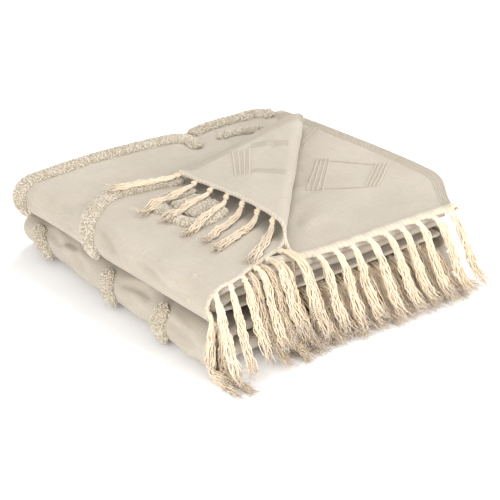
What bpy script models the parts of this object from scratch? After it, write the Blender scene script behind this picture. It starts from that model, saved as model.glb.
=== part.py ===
"""A cotton throw, folded side to side in four and end to end in four, with one corner turned back.

Metres, +Z up.  The folded throw rests on z = 0.  X runs along the fringed side, from the left
folds to the free right edge, and Y runs from the fringe to the back folds.  The shapes are worked
out in a layout whose near left corner is (0, 0); ORIGIN moves them so that the middle of the
bounding box's base is the origin.
"""

import math

import bmesh
import bpy
from mathutils import Matrix, Vector

# Driving dimensions, in metres
ORIGIN = Vector((0.1695, 0.1346, 0.0))  # layout point that becomes the world origin
WIDTH = 0.317                # left folds to right edge
DEPTH = 0.320                # fringed side to back folds
CLOTH = 0.0020               # thickness of the canvas
PITCH = 0.0060               # spacing of neighbouring layers at the near left corner
SEAT = 0.0008                # clearance between a fringe band and the hem that it belongs to
TUFT_SEAT = 0.0009           # clearance between a tuft and the canvas
FALL_RIGHT = 0.09            # share of the height lost along the width
FALL_BACK = 0.16             # share of the height lost along the depth
SOFT_SAG = 0.0014            # rise and dip of the soft upper face
SAG_ACROSS, SAG_ALONG = 26.0, 21.0   # its waves, in radians a metre
PUFF = 0.040                 # soft rise near the back, as a share of the height
PUFF_AT, PUFF_WIDE = (0.110, 0.300), 0.075
LEAN_BACK = 0.010            # how far the upper fold overhangs at the back
LEAN_TOE = -0.003            # how far the lower fold stands in (here out) at the front
LEAN_HEEL = 0.012            # how much further it stands in at the back
LEAN_WIDTH = 0.190           # distance from the left over which the overhang fades

TOP_LEVEL = 15               # sixteen layers: four in each of four panels
TOP_MIDDLE = 13.5            # middle of the top panel, in pitches over the lowest layer
MID = 2.0                    # radius, in pitches, of a side fold's middle line
OUTER = 3.5 * PITCH          # radius of its outermost layer
BACK_LINE = DEPTH - 1.5 * PITCH
LEFT_LINE = OUTER            # where a panel ends and its left fold begins
RIGHT_LINE = WIDTH - OUTER
PANEL_ENDS = ((WIDTH, LEFT_LINE), (LEFT_LINE, RIGHT_LINE), (RIGHT_LINE, LEFT_LINE), (LEFT_LINE, WIDTH))

# The turned-back corner of the uppermost layer
CREASE_FRONT = Vector((0.1124, 0.0370))   # on the fringed hem
CREASE_BACK = Vector((0.3110, 0.2550))    # on the right edge
ROLL = 0.0085                # radius of the soft roll along the crease
ROLL_GROWTH = 1.35           # how much higher it stands at the back
FLAP_REST = 0.0100           # height of the returned corner over the layer below it
FLAP_LENGTH = 0.105          # crease to corner

# Where each layer's front ends, at the two ends of each panel, from the top panel down:
# the fringed end a, the other fringed end b, and the fold that joins the two inner layers
FRONTS = (
    # path   a       b       fold
    (0.0, 0.0500, -0.0030, 0.0060),
    (1.0, -0.0080, 0.0300, 0.0020),
    (2.0, -0.0040, 0.0160, 0.0060),
    (3.0, 0.0420, 0.0080, 0.0150),
    (4.0, 0.0420, 0.0360, 0.0060),
    (5.0, -0.0040, 0.0180, -0.0050),
    (6.0, -0.0070, 0.0200, -0.0060),
    (7.0, 0.0520, 0.0520, -0.0030),
)
DRAW_IN = 0.042               # share of a panel over which its hems draw in from the left fold

# Layers of one panel as heights, in pitches, over its middle: deep inside and at the front edge
LAYER_A = (1.5, 1.5)
LAYER_B = (0.5, 0.95)
LAYER_B_INNER = (-0.5, 0.30)
LAYER_A_INNER = (-1.5, -1.5)
FRONT_EASE = 0.040           # depth over which the front edge's heights fade
EDGES = {                    # x of the top panel's right edge: in front, half way and at the back
    "a": (0.3040, 0.3150, 0.3200),
    "b": (0.3500, 0.3520, 0.3360),
    "inner": (0.3000, 0.3280, 0.3240),
}
EDGE_CORNER = 0.045          # how far the second layer's edge draws in at its front corner
EDGE_CORNER_LONG = 0.095     # and over what length
HEM_START = 0.016            # how gently it leaves the left fold
HEM_BOW = 0.110              # how soon the top hem straightens, going right
UPPER_HEM = (0.0060, -0.0035)  # the second hem's line, from the left fold to the right edge
UPPER_DRAW_IN = 0.115        # width over which it draws in at the left

# Shares of each stretch where the canvas has a row of points: side to side, then end to end
ACROSS = (
    tuple(k / 15 for k in range(15)),
    (0.0, 0.125, 0.25, 0.375, 0.5, 0.625, 0.75, 0.875),
    (0.0, 0.07, 0.17, 0.33, 0.67),
    (0.0, 0.25, 0.5, 0.75),
    (0.0, 0.33, 0.67, 0.83, 0.93),
    (0.0, 0.125, 0.25, 0.375, 0.5, 0.625, 0.75, 0.875),
    (0.0, 0.07, 0.17, 0.33, 0.67, 1.0),
)
ALONG = (
    (0.0, 0.06, 0.14, 0.26, 0.40, 0.55, 0.70, 0.85),
    (0.0, 0.2, 0.4, 0.6, 0.8),
    (0.0, 0.45, 0.85),
    (0.0, 0.25, 0.5, 0.75),
    (0.0, 0.15, 0.5),
    (0.0, 0.33, 0.67),
    (0.0, 0.3, 0.6, 0.85, 0.95, 1.0),
)
ROLL_STEPS = 6               # facets of the crease's roll

# Tufted ridges: fold line 1 is the upper fold, 5 the lower one; x is measured along the canvas,
# so a value under zero lies down the side of the fold
END_WIDE, END_HIGH = 0.6, 0.55   # shares of a ridge's width and height that its ends keep
TUFT_STEP = 0.010            # spacing of its cross sections
TUFT_FOLD_STEP = 0.005       # the same where it wraps a fold
TUFTS = {                    # fold line, half width, height, and the ridge's line
    "Tuft_Back_Edge": (1, 0.0063, 0.0066, (
        (-0.030, 0.300), (-0.008, 0.303), (0.036, 0.3045), (0.100, 0.307), (0.160, 0.306),
        (0.186, 0.303), (0.1955, 0.294), (0.1945, 0.281), (0.1925, 0.270))),
    "Tuft_Back_Branch": (1, 0.0061, 0.0066, (
        (0.207, 0.3065), (0.232, 0.3085), (0.262, 0.3085), (0.288, 0.307), (0.300, 0.302),
        (0.3035, 0.289))),
    "Tuft_Middle_Branch": (1, 0.0046, 0.0048, (
        (0.224, 0.277), (0.240, 0.2795), (0.256, 0.275), (0.2775, 0.268))),
    "Tuft_Long": (1, 0.0068, 0.0070, (
        (-0.024, 0.170), (-0.016, 0.180), (-0.004, 0.185), (0.010, 0.194), (0.026, 0.207),
        (0.045, 0.219), (0.065, 0.2225), (0.095, 0.218), (0.120, 0.2125), (0.130, 0.209))),
    "Tuft_Loop_Front": (1, 0.0066, 0.0056, (
        (0.0715, 0.150), (0.0735, 0.130), (0.082, 0.1175), (0.098, 0.1165), (0.120, 0.124))),
    "Tuft_Loop_Back": (1, 0.0066, 0.0056, (
        (0.0725, 0.162), (0.080, 0.1790), (0.098, 0.1840), (0.124, 0.1790))),
    "Tuft_Loop_Heart": (1, 0.0215, 0.0052, (
        (0.086, 0.1485), (0.104, 0.149), (0.124, 0.150))),
    "Tuft_Low_Far": (5, 0.0080, 0.0078, (
        (0.002, 0.286), (-0.006, 0.281), (-0.015, 0.274), (-0.024, 0.267))),
    "Tuft_Low_Middle": (5, 0.0080, 0.0078, (
        (0.001, 0.161), (-0.009, 0.158), (-0.018, 0.156), (-0.026, 0.150))),
    "Tuft_Low_Near": (5, 0.0080, 0.0078, (
        (0.000, 0.0705), (-0.010, 0.0715), (-0.019, 0.069), (-0.026, 0.061))),
}
PROFILE = ((-1.0, 0.0), (0.0, 0.0), (1.0, 0.0), (0.78, 0.72), (0.0, 1.0), (-0.78, 0.72))

# Fringe
TASSEL_LENGTH = 0.083
BAND_DEPTH = 0.0030          # the fringe's root band, outward from the hem
BAND_THICK = 0.0016
ROOT_WIDTH = 0.0044
FAN_REACH = 0.045            # reach in front of the stack at which they do
FAN = 0.014                  # how far the tips at the right edge stray sideways
RING_AT = (0.0, 0.003, 0.006, 0.010, 0.022, 0.040, 0.062, 0.083)
RING_THICK = (0.0016, 0.0024, 0.0040, 0.0026, 0.0026, 0.0026, 0.0026, 0.0022)
WIDE = (0.0044, 0.0040, 0.0062, 0.0046, 0.0058, 0.0070, 0.0080, 0.0092)
SLIM = (0.0044, 0.0036, 0.0044, 0.0036, 0.0040, 0.0042, 0.0044, 0.0044)
ROOT_EASE = 0.008            # length over which a tassel leaves its root's height

# How tassels hang, as (y, z): over the top edge, through the middle gap, along the floor
HANG_TOP = ((0.060, 0.0948), (0.004, 0.0946), (-0.007, 0.0915), (-0.016, 0.0750),
            (-0.027, 0.0480), (-0.037, 0.0250), (-0.044, 0.0126), (-0.070, 0.0120))
HANG_UPPER = ((0.060, 0.0866), (0.012, 0.0876), (0.002, 0.0872), (-0.0045, 0.0825),
              (-0.010, 0.0700), (-0.018, 0.0480), (-0.028, 0.0270), (-0.036, 0.0165),
              (-0.043, 0.0124), (-0.070, 0.0120))
HANG_SECOND = ((0.060, 0.0505), (0.010, 0.0505), (0.0030, 0.0490), (-0.0030, 0.0425),
               (-0.0090, 0.0310), (-0.0160, 0.0180), (-0.0250, 0.0095), (-0.0350, 0.0066),
               (-0.0800, 0.0060))
HANG_MIDDLE = ((0.060, 0.0455), (0.004, 0.0455), (-0.006, 0.0425), (-0.0125, 0.0330),
               (-0.0195, 0.0200), (-0.029, 0.0095), (-0.040, 0.0066), (-0.080, 0.0060))
HANG_FLOOR = ((0.060, 0.0013), (-0.100, 0.0013))



def slots(first, pitch, count):
    return tuple(first + pitch * number for number in range(count))


# One row per fringed hem: path stretch, layer, x of its tassels, hang, widths. Where x is under
# zero they grow on the side of the left fold and fall straight down
FRINGES = {
    "Fringe_1_Turned": (1, "a", (-0.0340, -0.0140, 0.0050, 0.0225, 0.0420, 0.0636, 0.0845, 0.1054)
                        + slots(0.1290, 0.0260, 8), HANG_TOP, WIDE),
    "Fringe_2_Upper": (1, "b", slots(0.0532, 0.0209, 13), HANG_UPPER, WIDE),
    "Fringe_3_Middle": (3, "b", slots(0.0665, 0.0220, 10), HANG_SECOND, SLIM),
    "Fringe_4_Middle": (3, "a", slots(0.0720, 0.0220, 10), HANG_MIDDLE, SLIM),
    "Fringe_5_Middle": (5, "a", slots(0.0775, 0.0220, 10), HANG_MIDDLE, SLIM),
    "Fringe_6_Middle": (5, "b", slots(0.0830, 0.0220, 10), HANG_MIDDLE, SLIM),
    "Fringe_7_Lower": (7, "b", slots(0.0850, 0.0220, 11), HANG_FLOOR, WIDE),
    "Fringe_8_Lower": (7, "a", slots(0.0960, 0.0220, 10), HANG_FLOOR, WIDE),
}
SECOND_SHORT = 0.82          # the part of its length that the second row shows
FALL_TURN = 0.0060           # radius of a falling tassel's bends
FALL_RESTS = (0.0035, 0.0080)  # level at which each of them lies, the lower one first
LIE_HIGH = 0.0108            # tassels of the turned corner, over the tufts
LIE_LOW = 0.0036             # and beyond them
LIE_TUFTS = (0.108, 0.260)   # stretch of Y where they cross the tufts
LIE_REACH = 0.074            # how far their tips are from their roots
LIE_EASE = 0.030             # length over which they come down
LIE_TURNS = (0.50, 0.45, 0.23, 0.24, 0.21, 0.09, 0.0, -0.31)  # their headings, from the crease on
LYING_FROM = 1.4 * ROLL      # tassels rooted further round the roll than this lie on top

# Colours
CANVAS_COLOUR = (0.78, 0.70, 0.60, 1.0)
TUFT_COLOUR = (0.66, 0.60, 0.50, 1.0)
FRINGE_COLOUR = (0.77, 0.66, 0.50, 1.0)


def clear_scene():
    for thing in list(bpy.data.objects):
        bpy.data.objects.remove(thing, do_unlink=True)


def blend(low, high, share):
    return low + (high - low) * share


def smooth(share):
    share = min(max(share, 0.0), 1.0)
    return share * share * (3.0 - 2.0 * share)


def material(name, colour, roughness):
    made = bpy.data.materials.new(name)
    made.use_nodes = True
    shader = made.node_tree.nodes["Principled BSDF"]
    shader.inputs["Base Color"].default_value = colour
    shader.inputs["Roughness"].default_value = roughness
    shader.inputs["Metallic"].default_value = 0.0
    return made


# The side-to-side path: panels are stretches 0, 2, 4 and 6, the folds between them 1, 3 and 5

def path(t):
    """Middle line of the stack at t: its x, its level, and the way its upper side faces."""
    stretch = min(int(t), 6)
    share = t - stretch
    middle = TOP_MIDDLE - MID * stretch
    if stretch % 2 == 0:
        start, stop = PANEL_ENDS[stretch // 2]
        facing = 1.0 if stretch % 4 == 0 else -1.0
        return blend(start, stop, share), middle, (0.0, facing)
    turn = math.pi * share
    side = -1.0 if stretch != 3 else 1.0
    line = LEFT_LINE if side < 0 else RIGHT_LINE
    out, up = side * math.sin(turn), math.cos(turn)
    facing = -side
    return line + MID * PITCH * out, middle + MID * up, (facing * out, facing * up)


def front_of(t, column):
    """Y of a layer's front end on the path."""
    row = min(int(t), 6)
    share = t - row
    if row % 2:
        return blend(FRONTS[row][column], FRONTS[row + 1][column], smooth(share))
    near, far = FRONTS[row][column], FRONTS[row + 1][column]
    if row in (0, 4):
        near, far, share = far, near, 1.0 - share
    return blend(near, far, (1.0 - math.exp(-share / DRAW_IN)) / (1.0 - math.exp(-1.0 / DRAW_IN)))


def hem_top(x):
    """Y of the uppermost hem before its corner is turned back: it runs askew and bows."""
    run, full = (math.hypot(length, HEM_START) - HEM_START for length in (x - LEFT_LINE, WIDTH - LEFT_LINE))
    rise = (1.0 - math.exp(-run / HEM_BOW)) / (1.0 - math.exp(-full / HEM_BOW))
    return blend(FRONTS[1][1], FRONTS[0][1], rise)


def hem_upper(x):
    """Y of the second hem, drawn in near the left fold."""
    line = blend(UPPER_HEM[0], UPPER_HEM[1], x / WIDTH)
    return blend(FRONTS[1][2], line, smooth((x - LEFT_LINE) / UPPER_DRAW_IN))


def front_a(t):
    return hem_top(path(t)[0]) if t < 1.0 else front_of(t, 1)


def front_b(t):
    return hem_upper(path(t)[0]) if t < 1.0 else front_of(t, 2)


def layer_height(layer, y):
    return blend(layer[0], layer[1], math.exp(-max(y, 0.0) / FRONT_EASE))


def section(t, v):
    """The end-to-end line at path place t: its y and its height over the stack's middle."""
    stretch = min(int(v), 6)
    share = v - stretch
    fold = front_of(t, 3)
    turn = math.pi * share
    if stretch == 0:
        y = blend(front_a(t), BACK_LINE, share)
        return y, layer_height(LAYER_A, y)
    if stretch == 1:
        return BACK_LINE + 1.5 * PITCH * math.sin(turn), 1.5 * math.cos(turn)
    radius = 0.5 * (LAYER_B_INNER[1] - LAYER_A_INNER[1]) * PITCH
    if stretch == 2:
        y = blend(BACK_LINE, fold + radius, share)
        return y, layer_height(LAYER_A_INNER, y)
    if stretch == 3:
        start = layer_height(LAYER_A_INNER, fold + radius)
        stop = layer_height(LAYER_B_INNER, fold + radius)
        height = 0.5 * (start + stop) + 0.5 * (start - stop) * math.cos(turn)
        return fold + radius * (1.0 - math.sin(turn)), height
    if stretch == 4:
        y = blend(fold + radius, BACK_LINE, share)
        return y, layer_height(LAYER_B_INNER, y)
    if stretch == 5:
        return BACK_LINE + 0.5 * PITCH * math.sin(turn), -0.5 * math.cos(turn)
    y = blend(BACK_LINE, front_b(t), share)
    return y, layer_height(LAYER_B, y)


def right_edge(v, y):
    """X of the free edge of the two uppermost layers, which do not end in line."""
    share = min(max(y / DEPTH, 0.0), 1.0)
    layer = "a" if v <= 1.0 else "b" if v >= 5.5 else "inner"
    near, middle, far = EDGES[layer]
    bow = (middle - (near + far) / 2) * 4.0 * share * (1.0 - share)
    corner = EDGE_CORNER * (1.0 - smooth((y + 0.012) / EDGE_CORNER_LONG)) if layer == "b" else 0.0
    return blend(near, far, share) + bow - corner


def height_scale(x, y):
    soft = SOFT_SAG / (TOP_LEVEL * PITCH)
    waves = math.sin(x * SAG_ACROSS + 0.6) * math.cos(y * SAG_ALONG + 0.4)
    puff = PUFF * math.exp(-((x - PUFF_AT[0]) ** 2 + (y - PUFF_AT[1]) ** 2) / PUFF_WIDE**2)
    return 1.0 - FALL_RIGHT * x / WIDTH - FALL_BACK * y / DEPTH + soft * waves + puff


def place(t, v):
    """Point of the canvas's middle surface, with the corner not yet turned back."""
    x, level, facing = path(t)
    y, height = section(t, v)
    x += facing[0] * height * PITCH
    level += facing[1] * height
    if t < 1.0:
        stretch = (right_edge(v, y) - LEFT_LINE) / (WIDTH - LEFT_LINE)
        x = LEFT_LINE + (x - LEFT_LINE) * stretch
    share = y / DEPTH
    lean = blend(LEAN_TOE + LEAN_HEEL * share, -LEAN_BACK * share, level / TOP_LEVEL)
    flat_x = x
    x += lean * (1.0 - smooth(flat_x / LEAN_WIDTH))
    return Vector((x, y, CLOTH / 2 + level * PITCH * height_scale(flat_x, y)))


def top_height(x, y):
    return CLOTH / 2 + TOP_LEVEL * PITCH * height_scale(x, y)


def crease_frame():
    along = (CREASE_BACK - CREASE_FRONT).normalized()
    return along, Vector((along.y, -along.x))


def crease_distance(point):
    return (point.xy - CREASE_FRONT).dot(crease_frame()[1])


def turn_back(point):
    """Roll the uppermost layer over the crease, without stretching it."""
    along, across = crease_frame()
    distance = crease_distance(point)
    if distance <= 0.0:
        return point
    run = (point.xy - CREASE_FRONT).dot(along)
    roll_length = math.pi * ROLL
    if distance < roll_length:
        angle = distance / ROLL
        reach, lift = ROLL * math.sin(angle), ROLL * (1.0 - math.cos(angle))
    else:
        reach = roll_length - distance
        lift = blend(2.0 * ROLL, FLAP_REST, smooth(-reach / FLAP_LENGTH))
    lift *= blend(1.0, ROLL_GROWTH, run / (CREASE_BACK - CREASE_FRONT).length)
    flat = CREASE_FRONT + along * run + across * reach
    return Vector((flat.x, flat.y, top_height(flat.x, flat.y) + lift))


def cloth_point(t, v):
    point = place(t, v)
    return turn_back(point) if t <= 1.0 and v <= 1.0 else point


# Making meshes

def new_object(name, mesh_builder, finish, collection):
    mesh = bpy.data.meshes.new(name)
    made = bmesh.new()
    mesh_builder(made)
    bmesh.ops.translate(made, verts=made.verts, vec=-ORIGIN)
    made.to_mesh(mesh)
    made.free()
    mesh.materials.append(finish)
    mesh.shade_smooth()
    thing = bpy.data.objects.new(name, mesh)
    collection.objects.link(thing)
    return thing


def steps(table):
    return [stretch + share for stretch, shares in enumerate(table) for share in shares]


def build_canvas(made):
    """The whole throw as one surface, back and forth both ways."""
    across, along = steps(ACROSS), steps(ALONG)
    grid = [[made.verts.new(place(t, v)) for v in along] for t in across]
    upper = made.faces.layers.int.new("upper")
    for i in range(len(across) - 1):
        for j in range(len(along) - 1):
            corners = (grid[i][j], grid[i + 1][j], grid[i + 1][j + 1], grid[i][j + 1])
            face = made.faces.new(corners)
            face[upper] = int(across[i + 1] <= 1.0 and along[j + 1] <= 1.0)
    cut_roll(made, upper)
    moved = {vert for face in made.faces if face[upper] for vert in face.verts}
    for vert in moved:
        vert.co = turn_back(vert.co)
    bmesh.ops.triangulate(made, faces=made.faces)


def cut_roll(made, upper):
    """Rows of points along the crease, so that its roll is round."""
    across = crease_frame()[1].to_3d()
    for step in range(ROLL_STEPS + 1):
        start = CREASE_FRONT.to_3d() + across * (math.pi * ROLL * step / ROLL_STEPS)
        faces = [face for face in made.faces if face[upper]]
        edges = {edge for face in faces for edge in face.edges}
        verts = {vert for face in faces for vert in face.verts}
        bmesh.ops.bisect_plane(made, geom=[*verts, *edges, *faces], dist=1e-5,
                               plane_co=start, plane_no=across)


def make_canvas(finish, collection):
    canvas = new_object("Throw_Canvas", build_canvas, finish, collection)
    shell = canvas.modifiers.new("Thickness", "SOLIDIFY")
    shell.thickness = CLOTH
    shell.offset = 0.0
    shell.use_even_offset = True
    return canvas


def fold_path(fold, x):
    """Path place of a point of the outer face, x being measured along the canvas."""
    if x < LEFT_LINE:
        return fold + (LEFT_LINE - x) / (math.pi * OUTER)
    length = (WIDTH if fold == 1 else RIGHT_LINE) - LEFT_LINE
    return fold - (x - LEFT_LINE) / length


def skin(fold, x, y, rise=0.0):
    """Point over the canvas's outer face, rise above it, and the way out of the face."""
    t = fold_path(fold, x)
    front = front_a(t)
    v = (y - front) / (BACK_LINE - front)
    small = 1e-3
    point = place(t, v)
    side = place(t + small, v) - place(t - small, v)
    back = place(t, v + small) - place(t, v - small)
    out = back.cross(side).normalized()
    return point + out * (CLOTH / 2 + TUFT_SEAT + rise)


def curve_points(points, step, fold_step):
    """Points along a smooth curve through the given ones, closer where it wraps a fold."""
    ends = [Vector(points[0]) * 2 - Vector(points[1]), *map(Vector, points),
            Vector(points[-1]) * 2 - Vector(points[-2])]
    curve = []
    for before, start, stop, after in zip(ends, ends[1:], ends[2:], ends[3:]):
        spacing = fold_step if min(start.x, stop.x) < LEFT_LINE else step
        count = max(1, round((stop - start).length / spacing))
        for index in range(count):
            s = index / count
            pull = (stop - before) * 0.5, (after - start) * 0.5
            curve.append(start * (2 * s**3 - 3 * s**2 + 1) + pull[0] * (s**3 - 2 * s**2 + s)
                         + stop * (3 * s**2 - 2 * s**3) + pull[1] * (s**3 - s**2))
    return curve + [Vector(points[-1])]


def build_tuft(made, fold, width, height, points):
    """A ridge of D section that follows the canvas."""
    centre = curve_points(points, TUFT_STEP, TUFT_FOLD_STEP)
    rings = []
    for index, here in enumerate(centre):
        ahead = centre[min(index + 1, len(centre) - 1)] - centre[max(index - 1, 0)]
        side = Vector((-ahead.y, ahead.x)).normalized()
        end = index in (0, len(centre) - 1)
        half = width * (END_WIDE if end else 1.0)
        high = height * (END_HIGH if end else 1.0)
        ring = []
        for across, up in PROFILE:
            spot = here + side * (half * across)
            ring.append(made.verts.new(skin(fold, spot.x, spot.y, high * up)))
        rings.append(ring)
    for low, high in zip(rings, rings[1:]):
        for k in range(len(PROFILE)):
            n = (k + 1) % len(PROFILE)
            made.faces.new((low[k], low[n], high[n], high[k]))
    made.faces.new(list(reversed(rings[0])))
    made.faces.new(rings[-1])
    bmesh.ops.triangulate(made, faces=made.faces)
    bmesh.ops.recalc_face_normals(made, faces=made.faces)


def hang_point(hang, start, length):
    """Walk down a hang's line: the place that lies the given length beyond y = start."""
    left = None
    for (y0, z0), (y1, z1) in zip(hang, hang[1:]):
        piece = math.hypot(y1 - y0, z1 - z0)
        if left is None:
            if start < y1:
                continue
            share = (y0 - start) / (y0 - y1)
            left = length + share * piece
        if left <= piece:
            return blend(y0, y1, left / piece), blend(z0, z1, left / piece)
        left -= piece
    return hang[-1]


def rounded_hang(hang, start, length):
    """The same with its corners eased."""
    spread = (-0.006, -0.003, 0.0, 0.003, 0.006)
    spots = [hang_point(hang, start, max(length + shift, 0.0)) for shift in spread]
    return sum(y for y, _ in spots) / len(spots), sum(z for _, z in spots) / len(spots)


def hem_frame(layer, t):
    """A place on a hem: the point, the way out of the cloth, and the cloth's upper side."""
    v = 0.0 if layer == "a" else 7.0
    inner = 0.002 if layer == "a" else 7.0 - 0.002
    point = cloth_point(t, v)
    out = (point - cloth_point(t, inner)).normalized()
    side = cloth_point(t - 1e-3, v) - cloth_point(t + 1e-3, v)
    if side.x < 0.0 and t > 2.0:
        side = -side
    up = side.cross(-out).normalized()
    return point, out, up


def hem_path(panel_end, x):
    """Path place at distance x from the left line of a panel that ends at panel_end."""
    if x < LEFT_LINE and panel_end == 1:
        return 1.0 + (LEFT_LINE - x) / (math.pi * OUTER)
    if panel_end == 1:
        return 1.0 - (x - LEFT_LINE) / (WIDTH - LEFT_LINE)
    start, stop = panel_end - 1, panel_end
    left_first = panel_end in (3, 7)
    far = WIDTH if panel_end == 7 else RIGHT_LINE
    share = (x - LEFT_LINE) / (far - LEFT_LINE)
    return blend(start, stop, share if left_first else 1.0 - share)


def tassel_ring(made, centre, width_way, thick_way, width, thick):
    corners = ((-1, -1), (1, -1), (1, 1), (-1, 1))
    return [made.verts.new(centre + width_way * (a * width / 2) + thick_way * (b * thick / 2))
            for a, b in corners]


def hanging_tassel(root, slot, hang, s):
    """Middle of a tassel that hangs from the hem, s beyond its root, in its own slot of x."""
    scale = 1.0 if hang is HANG_FLOOR else height_scale(slot, 0.0)
    y0, z0 = rounded_hang(hang, root.y, 0.0)
    y, z = rounded_hang(hang, root.y, s)
    fade = math.exp(-s / ROOT_EASE)
    fan = FAN * slot / WIDTH * max(0.0, -y) / FAN_REACH
    return Vector((slot + (root.x - slot) * fade + fan, y + (root.y - y0) * fade,
                   z * scale + (root.z - z0 * scale) * fade))


def falling_tassel(root, rest, s):
    """Middle of a tassel that grows on the left fold, falls straight down and lies out in front."""
    quarter = FALL_TURN * math.pi / 2
    drop = root.z - rest - 2 * FALL_TURN
    if s < quarter:
        angle = s / FALL_TURN
        return root + FALL_TURN * Vector((0.0, -math.sin(angle), math.cos(angle) - 1.0))
    if s < quarter + drop:
        return root + Vector((0.0, -FALL_TURN, quarter - FALL_TURN - s))
    angle = min((s - quarter - drop) / FALL_TURN, math.pi / 2)
    beyond = max(s - 2 * quarter - drop, 0.0)
    return Vector((root.x, root.y - FALL_TURN * (2.0 - math.cos(angle)) - beyond,
                   rest + FALL_TURN * (1.0 - math.sin(angle))))


def lying_tassel(root, out, turn, s):
    """Middle of a tassel that lies on the upper face, s beyond its root."""
    direction = Vector((out.x, out.y, 0.0)).normalized()
    direction.rotate(Matrix.Rotation(turn, 3, "Z"))
    spot = root + direction * s * LIE_REACH / TASSEL_LENGTH
    over_tufts = LIE_TUFTS[0] < root.y < LIE_TUFTS[1]
    floor = top_height(spot.x, spot.y)
    lift_root = root.z - top_height(root.x, root.y)
    rest = LIE_HIGH if over_tufts else LIE_LOW
    lift = blend(lift_root, rest, smooth(s / LIE_EASE))
    return Vector((spot.x, spot.y, floor + lift))


def build_fringe(made, panel_end, layer, places, hang, widths):
    """A root band along a hem with its tassels grown out of its outer face."""
    spots = []
    for number, x in enumerate(places):
        spots.append((x - ROOT_WIDTH / 2, number))
        spots.append((x + ROOT_WIDTH / 2, None))
    near, far = SEAT, SEAT + BAND_DEPTH
    rings = []
    for x, number in spots:
        point, out, up = hem_frame(layer, hem_path(panel_end, x))
        half = up * (BAND_THICK / 2)
        corners = ((near, -half), (far, -half), (far, half), (near, half))
        rings.append([made.verts.new(point + out * reach + rise) for reach, rise in corners])
    made.faces.new(rings[0])
    made.faces.new(list(reversed(rings[-1])))
    for index in range(len(rings) - 1):
        low, high = rings[index], rings[index + 1]
        number = spots[index][1]
        for k in (0, 2, 3):
            n = (k + 1) % 4
            made.faces.new((low[k], low[n], high[n], high[k]))
        if number is None:
            made.faces.new((low[1], low[2], high[2], high[1]))
            continue
        first = (low[1], high[1], high[2], low[2])
        grow_tassel(made, first, layer, panel_end, number, places[number], hang, widths)
    bmesh.ops.triangulate(made, faces=made.faces)
    bmesh.ops.recalc_face_normals(made, faces=made.faces)


def grow_tassel(made, first, layer, panel_end, number, x, hang, widths):
    t = hem_path(panel_end, x)
    point, out, up = hem_frame(layer, t)
    root = sum((vert.co for vert in first), Vector()) / 4
    lying = panel_end == 1 and layer == "a" and crease_distance(place(t, 0.0)) > LYING_FROM

    def middle(s):
        if x < 0.0:
            return falling_tassel(root, FALL_RESTS[number], s)
        if lying:
            return lying_tassel(root, out, LIE_TURNS[number % len(LIE_TURNS)], s)
        return hanging_tassel(root, x, hang, s * (SECOND_SHORT if hang is HANG_SECOND else 1.0))

    ring = list(first)
    start_side = (first[1].co - first[0].co).normalized()
    for s, width, thick in list(zip(RING_AT, widths, RING_THICK))[1:]:
        ahead = middle(s + 0.001) - middle(max(s - 0.001, 0.0))
        centre = middle(s)
        if hang is HANG_FLOOR:
            ahead.z = 0.0
            centre.z = max(centre.z, thick / 2)
        ahead.normalize()
        side = start_side - ahead * start_side.dot(ahead)
        side.normalize()
        up_way = side.cross(ahead).normalized()
        if up_way.dot(first[3].co - first[0].co) < 0:
            up_way = -up_way
        fresh = tassel_ring(made, centre, side, up_way, width, thick)
        for k in range(4):
            n = (k + 1) % 4
            made.faces.new((ring[k], ring[n], fresh[n], fresh[k]))
        ring = fresh
    made.faces.new(ring)


def main():
    clear_scene()
    collection = bpy.data.collections.new("Folded_Throw")
    bpy.context.scene.collection.children.link(collection)
    canvas_finish = material("Canvas", CANVAS_COLOUR, 0.92)
    tuft_finish = material("Tufting", TUFT_COLOUR, 0.95)
    fringe_finish = material("Fringe_Yarn", FRINGE_COLOUR, 0.94)
    make_canvas(canvas_finish, collection)
    for name, row in TUFTS.items():
        new_object(name, lambda made, r=row: build_tuft(made, *r), tuft_finish, collection)
    for name, row in FRINGES.items():
        new_object(name, lambda made, r=row: build_fringe(made, *r), fringe_finish, collection)


main()
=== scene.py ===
"""A folded cotton throw: slubby ecru canvas, boucle tufting, stitched bars and knotted yarn fringe.

Metres, +Z up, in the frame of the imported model.  The cloth's surface is worked out from the same
sizes as the solids: t runs side to side through its four panels and v end to end through its four
layers.  Layout coordinates have their origin at the throw's near left corner.
"""

import math

import bpy
import numpy as np
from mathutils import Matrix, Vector, noise
from mathutils.bvhtree import BVHTree


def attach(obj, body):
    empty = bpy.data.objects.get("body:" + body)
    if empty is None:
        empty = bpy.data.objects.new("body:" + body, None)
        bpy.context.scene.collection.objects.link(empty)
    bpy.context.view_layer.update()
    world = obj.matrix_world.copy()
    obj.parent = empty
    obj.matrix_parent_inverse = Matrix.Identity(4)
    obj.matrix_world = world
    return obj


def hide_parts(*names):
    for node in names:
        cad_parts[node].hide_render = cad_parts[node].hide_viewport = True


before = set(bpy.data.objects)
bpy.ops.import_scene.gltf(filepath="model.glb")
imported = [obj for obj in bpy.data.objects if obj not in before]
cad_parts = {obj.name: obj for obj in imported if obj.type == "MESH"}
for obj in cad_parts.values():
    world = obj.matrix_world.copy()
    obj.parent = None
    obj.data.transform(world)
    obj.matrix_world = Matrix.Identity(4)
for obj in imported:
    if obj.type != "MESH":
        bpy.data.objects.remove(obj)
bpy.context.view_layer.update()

# Driving dimensions of the folded stack, in metres
ORIGIN = Vector((0.1695, 0.1346, 0.0))  # layout point that is the world origin
WIDTH = 0.317
DEPTH = 0.320
CLOTH = 0.0020               # thickness of the solid's canvas
PITCH = 0.0060               # spacing of neighbouring layers
FALL_RIGHT = 0.09            # share by which the stack is lower at its right edge
FALL_BACK = 0.16             # and at its back
SOFT_SAG = 0.0014            # height of its gentle waves
SAG_ACROSS, SAG_ALONG = 26.0, 21.0       # and their rates, in radians a metre
PUFF = 0.040                 # share by which it stands higher round one place
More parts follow.
